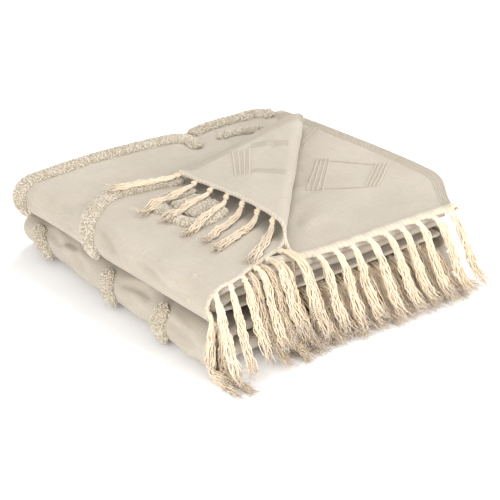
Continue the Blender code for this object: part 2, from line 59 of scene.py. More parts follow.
PUFF_AT, PUFF_WIDE = (0.110, 0.300), 0.075
LEAN_BACK = 0.010            # how far the left side stands out at the top's back
LEAN_TOE = -0.003            # its shift in x at the floor's front
LEAN_HEEL = 0.012            # and what is added to that towards the floor's back
LEAN_WIDTH = 0.190           # how far in from the left these shifts fade out
TOP_LEVEL = 15               # levels are counted in layers: the top layer's
TOP_MIDDLE = 13.5            # and the first panel's middle
MID = 2.0                    # radius of a side fold's middle line, in layers
OUTER = 3.5 * PITCH          # radius of its outermost layer
BACK_LINE = DEPTH - 1.5 * PITCH
LEFT_LINE = OUTER
RIGHT_LINE = WIDTH - OUTER
PANEL_ENDS = ((WIDTH, LEFT_LINE), (LEFT_LINE, RIGHT_LINE), (RIGHT_LINE, LEFT_LINE), (LEFT_LINE, WIDTH))
FLAT = (1.27, 1.30)          # the canvas before it was folded: side to side and end to end

# The turned-back corner
CREASE_FRONT = Vector((0.1124, 0.0370))
CREASE_BACK = Vector((0.3110, 0.2550))
ROLL = 0.0085                # radius of its roll
ROLL_GROWTH = 1.35           # how much higher it stands at the back end of the crease
FLAP_REST = 0.0085           # height at which it lies, and how far from the roll
FLAP_LENGTH = 0.105

# Fronts of the layers: path place, fringed end a, fringed end b, inner fold
FRONTS = (
    (0.0, 0.0500, -0.0030, 0.0060),
    (1.0, -0.0080, 0.0300, 0.0020),
    (2.0, -0.0040, 0.0160, 0.0060),
    (3.0, 0.0420, 0.0080, 0.0150),
    (4.0, 0.0420, 0.0360, 0.0060),
    (5.0, -0.0040, 0.0180, -0.0050),
    (6.0, -0.0070, 0.0200, -0.0060),
    (7.0, 0.0520, 0.0520, -0.0030),
)
DRAW_IN = 0.042              # share of a panel over which its hem leaves a side fold
# Levels of the layers over a panel's middle: well behind the front, and at the front
LAYER_A = (1.5, 1.5)
LAYER_B = (0.5, 0.95)
LAYER_B_INNER = (-0.5, 0.30)
LAYER_A_INNER = (-1.5, -1.5)
FRONT_EASE = 0.040
# Right edges of the layers at the front, half way and at the back, and b's cut-in front corner
EDGES = {"a": (0.3040, 0.3150, 0.3200), "b": (0.3500, 0.3520, 0.3360), "inner": (0.3000, 0.3280, 0.3240)}
EDGE_CORNER = 0.045
EDGE_CORNER_LONG = 0.095
HEM_START = 0.016            # bow of the top layer's hem
HEM_BOW = 0.110
UPPER_HEM = (0.0060, -0.0035)            # second layer's hem, left and right
UPPER_DRAW_IN = 0.115

# The dressed canvas
SHEET = 0.0015               # its thickness
HEM_SHEET = 0.0024           # thickness at its edges
HEM_FADE = 0.05              # share of a panel over which the edge thins out
FLOOR_GAP = 0.0002           # least height of the sheet over the floor
HEM_GAP = 0.0003             # and of its hem bands
COLUMNS = (90, 30, 10, 14, 12, 30, 10)   # grid steps in each stretch, side to side
ROWS = (90, 12, 12, 8, 12, 8, 52)        # and end to end

# Creases: start, stop, half width and height (under zero for a trough), all in metres.  On the two
# fold faces x is measured along the canvas, so a value under zero lies down the side of the fold.
CREASES = {
    "upper": (
        ((0.022, 0.256), (-0.014, 0.200), 0.0065, -0.0068),
        ((0.018, 0.232), (-0.024, 0.200), 0.0045, 0.0043),
        ((0.004, 0.302), (-0.024, 0.270), 0.0050, -0.0046),
        ((0.014, 0.290), (-0.016, 0.262), 0.0045, 0.0030),
        ((-0.0150, 0.252), (-0.0140, 0.184), 0.0030, -0.0038),
        ((0.009, 0.190), (-0.014, 0.124), 0.0050, -0.0059),
        ((-0.004, 0.158), (-0.024, 0.102), 0.0040, 0.0043),
        ((0.019, 0.182), (0.001, 0.128), 0.0045, 0.0027),
        ((-0.004, 0.115), (-0.013, 0.040), 0.0045, -0.0041),
        ((-0.010, 0.066), (-0.021, 0.010), 0.0045, -0.0046),
        ((0.002, 0.080), (-0.010, 0.014), 0.0050, 0.0032),
        ((0.016, 0.070), (0.004, 0.004), 0.0060, -0.0027),
        ((0.050, 0.190), (0.032, 0.118), 0.0080, -0.0024),
        ((0.040, 0.212), (0.010, 0.236), 0.0070, -0.0032),
        ((0.044, 0.258), (0.118, 0.276), 0.0090, 0.0020),
        ((0.060, 0.240), (0.140, 0.252), 0.0080, -0.0018),
        ((0.052, 0.112), (0.034, 0.036), 0.0090, -0.0020),
        ((0.066, 0.108), (0.100, 0.060), 0.0080, 0.0018),
    ),
    "lower": (
        ((0.016, 0.278), (-0.010, 0.240), 0.0055, -0.0054),
        ((-0.004, 0.256), (0.004, 0.190), 0.0045, 0.0041),
        ((0.016, 0.244), (-0.014, 0.196), 0.0050, -0.0043),
        ((-0.008, 0.228), (-0.024, 0.176), 0.0045, 0.0035),
        ((0.019, 0.138), (0.019, 0.078), 0.0045, 0.0032),
        ((0.001, 0.150), (0.007, 0.086), 0.0050, -0.0054),
        ((-0.006, 0.132), (-0.024, 0.088), 0.0050, 0.0035),
        ((-0.016, 0.120), (-0.026, 0.082), 0.0040, -0.0035),
        ((-0.006, 0.070), (-0.010, 0.002), 0.0050, -0.0051),
        ((0.010, 0.060), (-0.006, 0.022), 0.0045, 0.0032),
        ((-0.012, 0.050), (-0.024, 0.008), 0.0045, 0.0030),
    ),
    "reverse": (
        ((0.150, 0.045), (0.215, 0.075), 0.0050, 0.0022),
        ((0.152, 0.060), (0.205, 0.092), 0.0045, -0.0026),
        ((0.165, 0.082), (0.215, 0.112), 0.0045, 0.0019),
        ((0.196, 0.118), (0.240, 0.122), 0.0040, -0.0022),
        ((0.205, 0.130), (0.236, 0.142), 0.0040, 0.0019),
        ((0.230, 0.020), (0.300, 0.034), 0.0080, 0.0016),
        ((0.240, 0.060), (0.310, 0.052), 0.0090, -0.0013),
    ),
    "flap": (
        ((0.215, 0.195), (0.262, 0.215), 0.0050, 0.0014),
        ((0.205, 0.185), (0.240, 0.190), 0.0045, -0.0014),
        ((0.120, 0.100), (0.140, 0.125), 0.0070, -0.0013),
        ((0.150, 0.120), (0.185, 0.160), 0.0090, 0.0014),
    ),
}
TROUGH = 0.0042              # most depth of a trough in the outer layer
FOLLOW = 0.8                 # share of it by which the layer under it gives way
FOLLOW_TO = 0.13             # and how far in along the canvas
SWELL = 0.0010               # the broad unevenness of the lying cloth
RIPPLE = 0.00030             # and its fine one
LAYER_SHIFT = 0.37           # shift of both from layer to layer, so that no two are alike
INNER_WAVE = 0.0014          # waves of the inner folds along the fringed side

# Tufted ridges
TUFT_STEP = 0.0021           # grid steps along a ridge, and spacing of its pile loops
TUFT_ROUND = 9               # grid steps over a ridge
TUFT_END = 0.008             # length over which its ends round off
TUFTS = {                    # fold line, half width, height, and the ridge's line
    "Tuft_Back_Edge": (1, 0.0078, 0.0060, (
        (-0.030, 0.300), (-0.008, 0.303), (0.036, 0.3045), (0.100, 0.307), (0.160, 0.306),
        (0.186, 0.303), (0.1955, 0.294), (0.1945, 0.281), (0.1925, 0.270))),
    "Tuft_Back_Branch": (1, 0.0076, 0.0058, (
        (0.207, 0.3065), (0.232, 0.3085), (0.262, 0.3085), (0.288, 0.307), (0.300, 0.302),
        (0.3035, 0.289))),
    "Tuft_Middle_Branch": (1, 0.0060, 0.0044, (
        (0.224, 0.277), (0.240, 0.2795), (0.256, 0.275), (0.2775, 0.268))),
    "Tuft_Long": (1, 0.0078, 0.0060, (
        (-0.024, 0.170), (-0.016, 0.180), (-0.004, 0.185), (0.010, 0.194), (0.026, 0.207),
        (0.045, 0.219), (0.065, 0.2225), (0.095, 0.218), (0.120, 0.2125), (0.130, 0.209))),
    "Tuft_Loop_Front": (1, 0.0076, 0.0050, (
        (0.0712, 0.1545), (0.0735, 0.130), (0.082, 0.1175), (0.098, 0.1165), (0.120, 0.124))),
    "Tuft_Loop_Back": (1, 0.0076, 0.0050, (
        (0.0716, 0.1570), (0.080, 0.179), (0.098, 0.184), (0.124, 0.179))),
    "Tuft_Loop_Heart": (1, 0.0225, 0.0046, (
        (0.086, 0.1485), (0.104, 0.149), (0.124, 0.150))),
    "Tuft_Low_Far": (5, 0.0092, 0.0070, (
        (0.006, 0.288), (0.002, 0.286), (-0.006, 0.281), (-0.015, 0.274), (-0.024, 0.267))),
    "Tuft_Low_Middle": (5, 0.0092, 0.0070, (
        (0.008, 0.163), (0.001, 0.161), (-0.009, 0.158), (-0.018, 0.156), (-0.026, 0.150))),
    "Tuft_Low_Near": (5, 0.0092, 0.0070, (
        (0.008, 0.066), (0.000, 0.0705), (-0.010, 0.0715), (-0.019, 0.069), (-0.026, 0.061))),
}
NUB = 0.0009                 # radius of a pile loop's bend
NUB_YARN = 0.00075           # radius of its yarn
TUFT_SUNK = 0.0004           # depth of a ridge's edges in the canvas
TUFT_BASE = 0.0008           # and of its underside

# Fringe.  A hang is the side view of a row of tassels, as y and height, from within the stack out.
TASSEL_LENGTH = 0.083
SECOND_SHORT = 0.82          # share of that in the second row
FAN = 0.014                  # how far the rightmost tassel spreads, at FAN_REACH in front
FAN_REACH = 0.045
ROOT_EASE = 0.008            # length over which a tassel comes into its hang
HANG_TOP = ((0.060, 0.0948), (0.004, 0.0946), (-0.007, 0.0915), (-0.016, 0.0750),
            (-0.027, 0.0480), (-0.037, 0.0250), (-0.044, 0.0126), (-0.070, 0.0120))
HANG_UPPER = ((0.060, 0.0866), (0.012, 0.0876), (0.002, 0.0872), (-0.0045, 0.0825), (-0.010, 0.0700),
              (-0.018, 0.0480), (-0.028, 0.0270), (-0.036, 0.0165), (-0.043, 0.0124), (-0.070, 0.0120))
HANG_SECOND = ((0.060, 0.0505), (0.010, 0.0505), (0.0030, 0.0490), (-0.0030, 0.0425),
               (-0.0090, 0.0310), (-0.0160, 0.0180), (-0.0250, 0.0095), (-0.0350, 0.0066),
               (-0.0800, 0.0060))
HANG_MIDDLE = ((0.060, 0.0455), (0.004, 0.0455), (-0.006, 0.0425), (-0.0125, 0.0330),
               (-0.0195, 0.0200), (-0.029, 0.0095), (-0.040, 0.0066), (-0.080, 0.0060))
HANG_FLOOR = ((0.060, 0.0030), (-0.100, 0.0030))


def slots(first, pitch, count):
    return tuple(first + pitch * number for number in range(count))


# Path place of the panel's end, layer, x of the tassels, hang, yarns and steps of a tassel, fullness
# and depth of painted shade: how far the yarns' tone is shifted towards the painted warm shade colour, most
# at the root
FRINGES = {
    "Fringe_1_Turned": (1, "a", (-0.0340, -0.0140, 0.0050, 0.0225, 0.0420, 0.0636, 0.0845, 0.1054)
                        + slots(0.1290, 0.0260, 8), HANG_TOP, 20, 34, 1.0, 0.35),
    "Fringe_2_Upper": (1, "b", slots(0.0532, 0.0209, 13), HANG_UPPER, 20, 34, 1.0, 0.35),
    "Fringe_3_Middle": (3, "b", slots(0.0665, 0.0220, 10), HANG_SECOND, 18, 32, 1.0, -0.05),
    "Fringe_4_Middle": (3, "a", slots(0.0720, 0.0220, 10), HANG_MIDDLE, 12, 24, 0.9, 0.15),
    "Fringe_5_Middle": (5, "a", slots(0.0775, 0.0220, 10), HANG_MIDDLE, 12, 24, 0.9, 0.15),
    "Fringe_6_Middle": (5, "b", slots(0.0830, 0.0220, 10), HANG_MIDDLE, 12, 24, 0.9, 0.15),
    "Fringe_7_Lower": (7, "b", slots(0.0850, 0.0220, 11), HANG_FLOOR, 14, 28, 0.95, 0.05),
    "Fringe_8_Lower": (7, "a", slots(0.0960, 0.0220, 10), HANG_FLOOR, 14, 28, 0.95, 0.05),
}
FOLD_TASSELS = (-0.0400, -0.0200, -0.0020, 0.0150, 0.0330)   # short row at the lower fold's end
FOLD_REST, FOLD_TURN = 0.0035, 0.0045    # height at which it lies, and radius of its bends
FALL_RESTS = (0.0045, 0.0090)            # heights at which the two leftmost tassels come to lie
FALL_TURN = 0.006            # and radius of their bends
LYING_FROM = 1.4 * ROLL      # tassels further beyond the crease lie on the cloth
LYING_TURNS = (0.50, 0.45, 0.23, 0.24, 0.21, 0.09, 0.0, -0.31)   # their sideways turns, along the hem
LYING_LIFT = 0.0022          # height of their middle lines over the cloth
LYING_SHORT = 0.92           # and their share of a tassel's length
UNDER_TURNED = 0.006         # height over the top face that is still under the turned corner
ABOVE_ALL = 0.3              # height from which the other rays start down
ROOT_OUT = 0.0012            # how far out of the hem a tassel starts
KNOT_OUT = 0.0042            # and how much further its knot sits
SWAY, DRIFT = 0.0030, 0.0016             # most sideways bow of a tassel, and most drift of its tip
HANG_FRONT, HANG_FROM = 0.0012, 0.02     # how far in front of its hang a tassel is, from what length on
MIDDLE_STEPS = 30            # points of a tassel's middle line before it is divided evenly
YARN = 0.00070               # radius of a fringe yarn
KNOT_YARN = 0.00090          # and of the yarn in a knot
KNOT_END = 0.0004            # and at that yarn's two ends
KNOT_WIDE, KNOT_THICK = 0.0027, 0.0020   # half width and half thickness of its loop
FIBRES = 2                   # loose fibres at each yarn's end
FIBRE_LENGTH = (0.004, 0.011)            # least and most
FIBRE_RADII = (0.00034, 0.00014)         # at a fibre's root and tip
BUNDLE_AT = (0.0, 0.04, 0.09, 0.15, 0.40, 0.75, 1.0)             # shares of a tassel's length
# Half width and half thickness of a tassel there
BUNDLE_WIDE = (0.0018, 0.0024, 0.0018, 0.0032, 0.0041, 0.0048, 0.0062)
BUNDLE_THICK = (0.0012, 0.0016, 0.0014, 0.0020, 0.0024, 0.0026, 0.0028)
YARN_WAVES = ((0.034, 0.0008), (0.015, 0.0005), (0.0075, 0.00028))   # length and size of each wave
GOLDEN = 2.39996             # turn from yarn to yarn, which spreads them evenly over the bundle

# Hem bands: half width, half thickness and how far a tassel draws them out
HEM_BAND = (0.0024, 0.0018, 0.0016)
UPPER_HEM_BAND = (0.0042, 0.0036, 0.0030)
HEM_STEP = 0.0016            # grid step along a band
HEM_NEAR = -0.036            # where the bands that go round the left folds start
HEM_PULL = 0.0040            # half width of a tassel's pull
RIB_PITCH, RIB_SHARE = 0.0034, 0.16      # spacing of the ribs, and their share of the thickness


def blend(low, high, share):
    return low + (high - low) * share


def smooth(share):
    share = np.clip(share, 0.0, 1.0)
    return share * share * (3.0 - 2.0 * share)


# The folded surface, as the solids have it

def path(t):
    """Middle line of the stack at t: its x, its level, and the way its upper side faces."""
    stretch = min(int(t), 6)
    share = t - stretch
    middle = TOP_MIDDLE - MID * stretch
    if stretch % 2 == 0:
        start, stop = PANEL_ENDS[stretch // 2]
        facing = 1.0 if stretch % 4 == 0 else -1.0
        return blend(start, stop, share), middle, (0.0, facing)
    turn = math.pi * share
    side = -1.0 if stretch != 3 else 1.0
    line = LEFT_LINE if side < 0 else RIGHT_LINE
    out, up = side * math.sin(turn), math.cos(turn)
    facing = -side
    return line + MID * PITCH * out, middle + MID * up, (facing * out, facing * up)


def front_of(t, column):
    """Front line of one column of FRONTS at path place t."""
    row = min(int(t), 6)
    share = t - row
    if row % 2:
        return blend(FRONTS[row][column], FRONTS[row + 1][column], smooth(share))
    near, far = FRONTS[row][column], FRONTS[row + 1][column]
    if row in (0, 4):
        near, far, share = far, near, 1.0 - share
    return blend(near, far, (1.0 - math.exp(-share / DRAW_IN)) / (1.0 - math.exp(-1.0 / DRAW_IN)))


def hem_top(x):
    run, full = (math.hypot(length, HEM_START) - HEM_START for length in (x - LEFT_LINE, WIDTH - LEFT_LINE))
    rise = (1.0 - math.exp(-run / HEM_BOW)) / (1.0 - math.exp(-full / HEM_BOW))
    return blend(FRONTS[1][1], FRONTS[0][1], rise)


def hem_upper(x):
    line = blend(UPPER_HEM[0], UPPER_HEM[1], x / WIDTH)
    return blend(FRONTS[1][2], line, smooth((x - LEFT_LINE) / UPPER_DRAW_IN))


def front_a(t):
    return hem_top(path(t)[0]) if t < 1.0 else front_of(t, 1)


def front_b(t):
    return hem_upper(path(t)[0]) if t < 1.0 else front_of(t, 2)


def layer_height(layer, y):
    return blend(layer[0], layer[1], math.exp(-max(y, 0.0) / FRONT_EASE))


def section(t, v):
    """The end-to-end line at path place t: its y and its height over the stack's middle."""
    stretch = min(int(v), 6)
    share = v - stretch
    fold = front_of(t, 3)
    turn = math.pi * share
    if stretch == 0:
        y = blend(front_a(t), BACK_LINE, share)
        return y, layer_height(LAYER_A, y)
    if stretch == 1:
        return BACK_LINE + 1.5 * PITCH * math.sin(turn), 1.5 * math.cos(turn)
    radius = 0.5 * (LAYER_B_INNER[1] - LAYER_A_INNER[1]) * PITCH
    if stretch == 2:
        y = blend(BACK_LINE, fold + radius, share)
        return y, layer_height(LAYER_A_INNER, y)
    if stretch == 3:
        start = layer_height(LAYER_A_INNER, fold + radius)
        stop = layer_height(LAYER_B_INNER, fold + radius)
        height = 0.5 * (start + stop) + 0.5 * (start - stop) * math.cos(turn)
        return fold + radius * (1.0 - math.sin(turn)), height
    if stretch == 4:
        y = blend(fold + radius, BACK_LINE, share)
        return y, layer_height(LAYER_B_INNER, y)
    if stretch == 5:
        return BACK_LINE + 0.5 * PITCH * math.sin(turn), -0.5 * math.cos(turn)
    y = blend(BACK_LINE, front_b(t), share)
    return y, layer_height(LAYER_B, y)


def right_edge(v, y):
    """Where the free right edge of a layer lies."""
    share = min(max(y / DEPTH, 0.0), 1.0)
    layer = "a" if v <= 1.0 else "b" if v >= 5.5 else "inner"
    near, middle, far = EDGES[layer]
    bow = (middle - (near + far) / 2) * 4.0 * share * (1.0 - share)
    corner = EDGE_CORNER * (1.0 - smooth((y + 0.012) / EDGE_CORNER_LONG)) if layer == "b" else 0.0
    return blend(near, far, share) + bow - corner


def height_scale(x, y):
    """Height of the stack at a place, as a share of its plain height."""
    soft = SOFT_SAG / (TOP_LEVEL * PITCH)
    waves = math.sin(x * SAG_ACROSS + 0.6) * math.cos(y * SAG_ALONG + 0.4)
    puff = PUFF * math.exp(-((x - PUFF_AT[0]) ** 2 + (y - PUFF_AT[1]) ** 2) / PUFF_WIDE**2)
    return 1.0 - FALL_RIGHT * x / WIDTH - FALL_BACK * y / DEPTH + soft * waves + puff


def place(t, v):
    """Point of the canvas's middle surface, with the corner not yet turned back."""
    x, level, facing = path(t)
    y, height = section(t, v)
    x += facing[0] * height * PITCH
    level += facing[1] * height
    if t < 1.0:
        stretch = (right_edge(v, y) - LEFT_LINE) / (WIDTH - LEFT_LINE)
        x = LEFT_LINE + (x - LEFT_LINE) * stretch
    share = y / DEPTH
    lean = blend(LEAN_TOE + LEAN_HEEL * share, -LEAN_BACK * share, level / TOP_LEVEL)
    flat_x = x
    x += lean * (1.0 - smooth(flat_x / LEAN_WIDTH))
    return Vector((x, y, CLOTH / 2 + level * PITCH * height_scale(flat_x, y)))


def top_height(x, y):
    return CLOTH / 2 + TOP_LEVEL * PITCH * height_scale(x, y)


def crease_frame():
    along = (CREASE_BACK - CREASE_FRONT).normalized()
    return along, Vector((along.y, -along.x))


def crease_distance(point):
    return (point.xy - CREASE_FRONT).dot(crease_frame()[1])


def turn_back(point):
    """Roll the uppermost layer over the crease, without stretching it."""
    along, across = crease_frame()
    distance = crease_distance(point)
    if distance <= 0.0:
        return point
    run = (point.xy - CREASE_FRONT).dot(along)
    roll_length = math.pi * ROLL
    if distance < roll_length:
        angle = distance / ROLL
        reach, lift = ROLL * math.sin(angle), ROLL * (1.0 - math.cos(angle))
    else:
        reach = roll_length - distance
        lift = blend(2.0 * ROLL, FLAP_REST, smooth(-reach / FLAP_LENGTH))
    lift *= blend(1.0, ROLL_GROWTH, run / (CREASE_BACK - CREASE_FRONT).length)
    flat = CREASE_FRONT + along * run + across * reach
    return Vector((flat.x, flat.y, top_height(flat.x, flat.y) + lift))


def cloth_point(t, v):
    point = place(t, v)
    return turn_back(point) if t <= 1.0 and v <= 1.0 else point


# Creases and unevenness

def measured_x(t):
    """Distance along the canvas from the left line, for the two stretches that a fold face spans."""
    t = np.asarray(t, float)
    stretch = np.floor(np.minimum(t, 6.999)).astype(int)
    first = np.where(stretch < 2, 1.0, 5.0)
    length = np.where(stretch < 2, WIDTH, RIGHT_LINE) - LEFT_LINE
    return np.where(t < first, LEFT_LINE + (first - t) * length, LEFT_LINE - (t - first) * math.pi * OUTER)


def creases(rows, x, y):
    """Sum of the soft ridges and troughs of a table, at the given places."""
    total = np.zeros_like(x)
    for start, stop, half, height in rows:
        run = np.subtract(stop, start)
        length = math.hypot(*run)
        along = ((x - start[0]) * run[0] + (y - start[1]) * run[1]) / length
        off = ((y - start[1]) * run[0] - (x - start[0]) * run[1]) / length
        bow = 0.06 * length * np.sin(math.pi * along / length * 1.3 + length * 90.0)
        fade = smooth(along / (0.35 * length)) * smooth((length - along) / (0.35 * length))
        total += height * fade * np.exp(-(((off - bow) / half) ** 2))
    return total


def uneven(x, y):
    """Gentle swells and ripples, drawn out along the folds."""
    made = np.empty(x.shape)
    flat = made.ravel()
    for index, (a, b) in enumerate(zip(x.ravel(), y.ravel())):
        swell = noise.noise(Vector((a * 22.0, b * 16.0, 7.3)))
        ripple = noise.noise(Vector((a * 90.0, b * 48.0, 43.1)))
        flat[index] = SWELL * swell + RIPPLE * ripple
    return made


def relief(t, v, xy):
    """How far the dressed canvas stands out of the plain folded surface, at arrays of places."""
    along, across, y = measured_x(t), xy[..., 0], xy[..., 1]
    height = uneven(along + LAYER_SHIFT * np.floor(v), y)
    inner = INNER_WAVE * np.exp(-((v - 3.5) / 0.7) ** 2)
    height = height + inner * np.sin(43.0 * across + 2.3 * t) * np.sin(19.0 * across + 1.7 * t)
    for side, fold in (("upper", (t <= 2.0)), ("lower", (t >= 4.0) & (t <= 6.0))):
        folds = creases(CREASES[side], along, y)
        folds = np.where(folds < 0.0, -TROUGH * np.tanh(-folds / TROUGH), folds)
        height = height + np.where(fold & (v <= 1.0), folds, 0.0)
        under = fold & (v >= 6.0) & (along < FOLLOW_TO)
        height = height - np.where(under, FOLLOW * np.minimum(folds, 0.0), 0.0)
    reverse = (v >= 6.0) & (t <= 1.0)
    height = height - np.where(reverse, creases(CREASES["reverse"], across, y), 0.0)
    turned = (v <= 1.0) & (t < 1.0) & (flat_distance(t, v) > math.pi * ROLL)
    height = height - np.where(turned, creases(CREASES["flap"], across, y), 0.0)
    return height * np.minimum(smooth(v / 0.02), smooth((7.0 - v) / 0.02))


def flat_distance(t, v):
    """Distance beyond the crease of places on the uppermost layer, before it is turned back."""
    made = np.full(t.shape, -1.0)
    for index in np.ndindex(t.shape):
        if t[index] <= 1.0 and v[index] <= 1.0:
            made[index] = crease_distance(place(t[index], v[index]))
    return made


# Making meshes

def mesh_piece(name, points, faces, finish, uv, tone):
    """A smooth mesh object; faces is a list of index arrays, and uv is given for each corner."""
    mesh = bpy.data.meshes.new(name)
    loops = np.concatenate([group.ravel() for group in faces]).astype(np.int32)
    sizes = np.concatenate([np.full(len(group), group.shape[1]) for group in faces])
    starts = np.concatenate([[0], np.cumsum(sizes)[:-1]]).astype(np.int32)
    mesh.vertices.add(len(points))
    mesh.vertices.foreach_set("co", (points - np.array(ORIGIN)).astype(np.float32).ravel())
    mesh.loops.add(len(loops))
    mesh.loops.foreach_set("vertex_index", loops)
    mesh.polygons.add(len(sizes))
    mesh.polygons.foreach_set("loop_start", starts)
    layer = mesh.uv_layers.new(name="UVMap")
    layer.data.foreach_set("uv", np.asarray(uv, np.float32).ravel())
    attribute = mesh.attributes.new("tone", "FLOAT", "POINT")
    attribute.data.foreach_set("value", np.asarray(tone, np.float32))
    mesh.update()
    mesh.validate()
    mesh.shade_smooth()
    mesh.materials.append(finish)
    thing = bpy.data.objects.new(name, mesh)
    bpy.context.scene.collection.objects.link(thing)
    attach(thing, "root")
    return thing


class Pile:
    """Points, faces, corner UVs and tones of many small things, gathered for one joined mesh."""

    def __init__(self):
        self.points, self.quads, self.tris, self.uv, self.tone = [], [], [], [], []
        self.count = 0

    def add(self, points, quads, tris=None, uv=None, tone=0.5):
        self.points.append(points)
        self.quads.append(quads + self.count)
        self.uv.append(np.zeros((quads.size, 2)) if uv is None else uv)
        if tris is not None:
            self.tris.append(tris + self.count)
        self.tone.append(np.broadcast_to(tone, (len(points),)))
        self.count += len(points)

    def piece(self, name, finish, slot):
        quads, tris = np.concatenate(self.quads), np.concatenate(self.tris)
        uv = np.concatenate([*self.uv, np.zeros((tris.size, 2))])
        return mesh_piece(name, np.concatenate(self.points), [quads, tris], finish, uv,
                          np.concatenate(self.tone))


def unit(vectors):
    return vectors / np.maximum(np.linalg.norm(vectors, axis=-1, keepdims=True), 1e-12)


def distances(line):
    """Distance along a line of points to each of them."""
    return np.concatenate([[0.0], np.cumsum(np.linalg.norm(np.diff(line, axis=0), axis=-1))])


def drop(tree, x, y, top):
    """Where a ray straight down from the height top meets the surface, and its normal there."""
    return tree.ray_cast(Vector((x, y, top)), Vector((0.0, 0.0, -1.0)))[:2]


def tubes(pile, lines, radii, sides, reference, tone):
    """Closed round tubes along many lines at once: lines is (n, m, 3) and radii (n, m)."""
    n, m, _ = lines.shape
    ahead = np.empty_like(lines)
    ahead[:, 1:-1] = lines[:, 2:] - lines[:, :-2]
    ahead[:, 0] = lines[:, 1] - lines[:, 0]
    ahead[:, -1] = lines[:, -1] - lines[:, -2]
    ahead = unit(ahead)
    side = unit(np.cross(ahead, reference))
    up = np.cross(side, ahead)
    turn = np.arange(sides) * 2 * math.pi / sides
    ring = (side[:, :, None] * np.cos(turn)[:, None] + up[:, :, None] * np.sin(turn)[:, None])
    points = lines[:, :, None] + ring * radii[:, :, None, None]
    points = np.concatenate([points.reshape(n, m * sides, 3), lines[:, :1], lines[:, -1:]], axis=1)
    each = m * sides + 2
    run = np.zeros((n, m))
    run[:, 1:] = np.cumsum(np.linalg.norm(np.diff(lines, axis=1), axis=-1), axis=1)
    i, k = np.meshgrid(np.arange(m - 1), np.arange(sides), indexing="ij")
    after = (k + 1) % sides
    quads = np.stack([(i + 1) * sides + k, (i + 1) * sides + after, i * sides + after, i * sides + k], -1)
    metres = run[:, np.stack([i + 1, i + 1, i, i], -1)]
    turns = np.stack([k, k + 1, k + 1, k], -1) / sides
    uv = np.stack([metres, np.broadcast_to(turns, metres.shape)], -1)
    k = np.arange(sides)
    after = (k + 1) % sides
    first = np.stack([after, k, np.full(sides, m * sides)], -1)
    last = np.stack([(m - 1) * sides + k, (m - 1) * sides + after, np.full(sides, m * sides + 1)], -1)
    caps = np.concatenate([first, last])
    shift = (np.arange(n) * each)[:, None, None]
    tone = np.broadcast_to(np.asarray(tone, float).reshape(-1, 1) if np.ndim(tone) == 1 else tone, (n, m))
    tones = np.concatenate([np.repeat(tone, sides, axis=1), tone[:, :1], tone[:, -1:]], axis=1)
    pile.add(points.reshape(-1, 3), (quads.reshape(-1, 4) + shift).reshape(-1, 4),
             (caps + shift).reshape(-1, 3), uv.reshape(-1, 2), tones.ravel())


# The canvas

def stations(counts):
    return np.array([k + s / n for k, n in enumerate(counts) for s in range(n)] + [float(len(counts))])


def grid_normals(grid):
    across = np.gradient(grid, axis=0)
    along = np.gradient(grid, axis=1)
    return unit(np.cross(along, across))


def grid_quads(rows, columns):
    i, j = np.meshgrid(np.arange(rows - 1), np.arange(columns - 1), indexing="ij")
    a = i * columns + j
    return np.stack([a, a + 1, a + columns + 1, a + columns], -1).reshape(-1, 4)


def slab_quads(rows, columns):
    """Faces of the closed slab between two grids of points."""
    count = rows * columns
    i, j = np.arange(rows - 1) * columns, np.arange(columns - 1)
    left = np.stack([j, j + count, j + 1 + count, j + 1], -1)
    right = (left + (rows - 1) * columns)[:, ::-1]
    front = np.stack([i, i + columns, i + columns + count, i + count], -1)
    back = (front + columns - 1)[:, ::-1]
    quads = grid_quads(rows, columns)
    return np.concatenate([quads, quads[:, ::-1] + count, left, right, front, back])


def flat_lengths(grid):
    """Flat coordinates of the grid's rows and columns, from the longest lines on the surface."""
    across = np.linalg.norm(np.diff(grid, axis=0), axis=-1).max(axis=1)
    along = np.linalg.norm(np.diff(grid, axis=1), axis=-1).max(axis=0)
    return (np.concatenate([[0.0], np.cumsum(across)]) * FLAT[0] / across.sum(),
            np.concatenate([[0.0], np.cumsum(along)]) * FLAT[1] / along.sum())


def build_canvas(finish):
    ts, vs = stations(COLUMNS), stations(ROWS)
    t, v = np.meshgrid(ts, vs, indexing="ij")
    grid = np.array([[cloth_point(a, b) for b in vs] for a in ts])
    normal = grid_normals(grid)
    grid = grid + normal * relief(t, v, grid)[..., None]
    normal = grid_normals(grid)
    hem = np.maximum(1.0 - smooth(v / HEM_FADE), 1.0 - smooth((7.0 - v) / HEM_FADE))
    half = blend(SHEET, HEM_SHEET, hem)[..., None] / 2
    grid[..., 2] = np.maximum(grid[..., 2], half[..., 0] + FLOOR_GAP)
    outer, inner = grid + normal * half, grid - normal * half
    quads = slab_quads(*t.shape)
    long_way, deep_way = flat_lengths(grid)
    u, w = np.meshgrid(long_way, deep_way, indexing="ij")
    uv = np.tile(np.stack([u, w], -1).reshape(-1, 2), (2, 1))
    points = np.concatenate([outer.reshape(-1, 3), inner.reshape(-1, 3)])
    canvas = mesh_piece("Canvas_Sheet", points, [quads], finish, uv[quads.ravel()],
                        np.full(len(points), 0.5))
    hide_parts("Throw_Canvas")
    tree = BVHTree.FromPolygons([tuple(p) for p in points], [tuple(q) for q in quads.tolist()])
    return canvas, tree


# Tufting

def fold_path(fold, x):
    """Path place of x on a fold face, measured along the canvas as in CREASES."""
    if x < LEFT_LINE:
        return fold + (LEFT_LINE - x) / (math.pi * OUTER)
    length = (WIDTH if fold == 1 else RIGHT_LINE) - LEFT_LINE
    return fold - (x - LEFT_LINE) / length


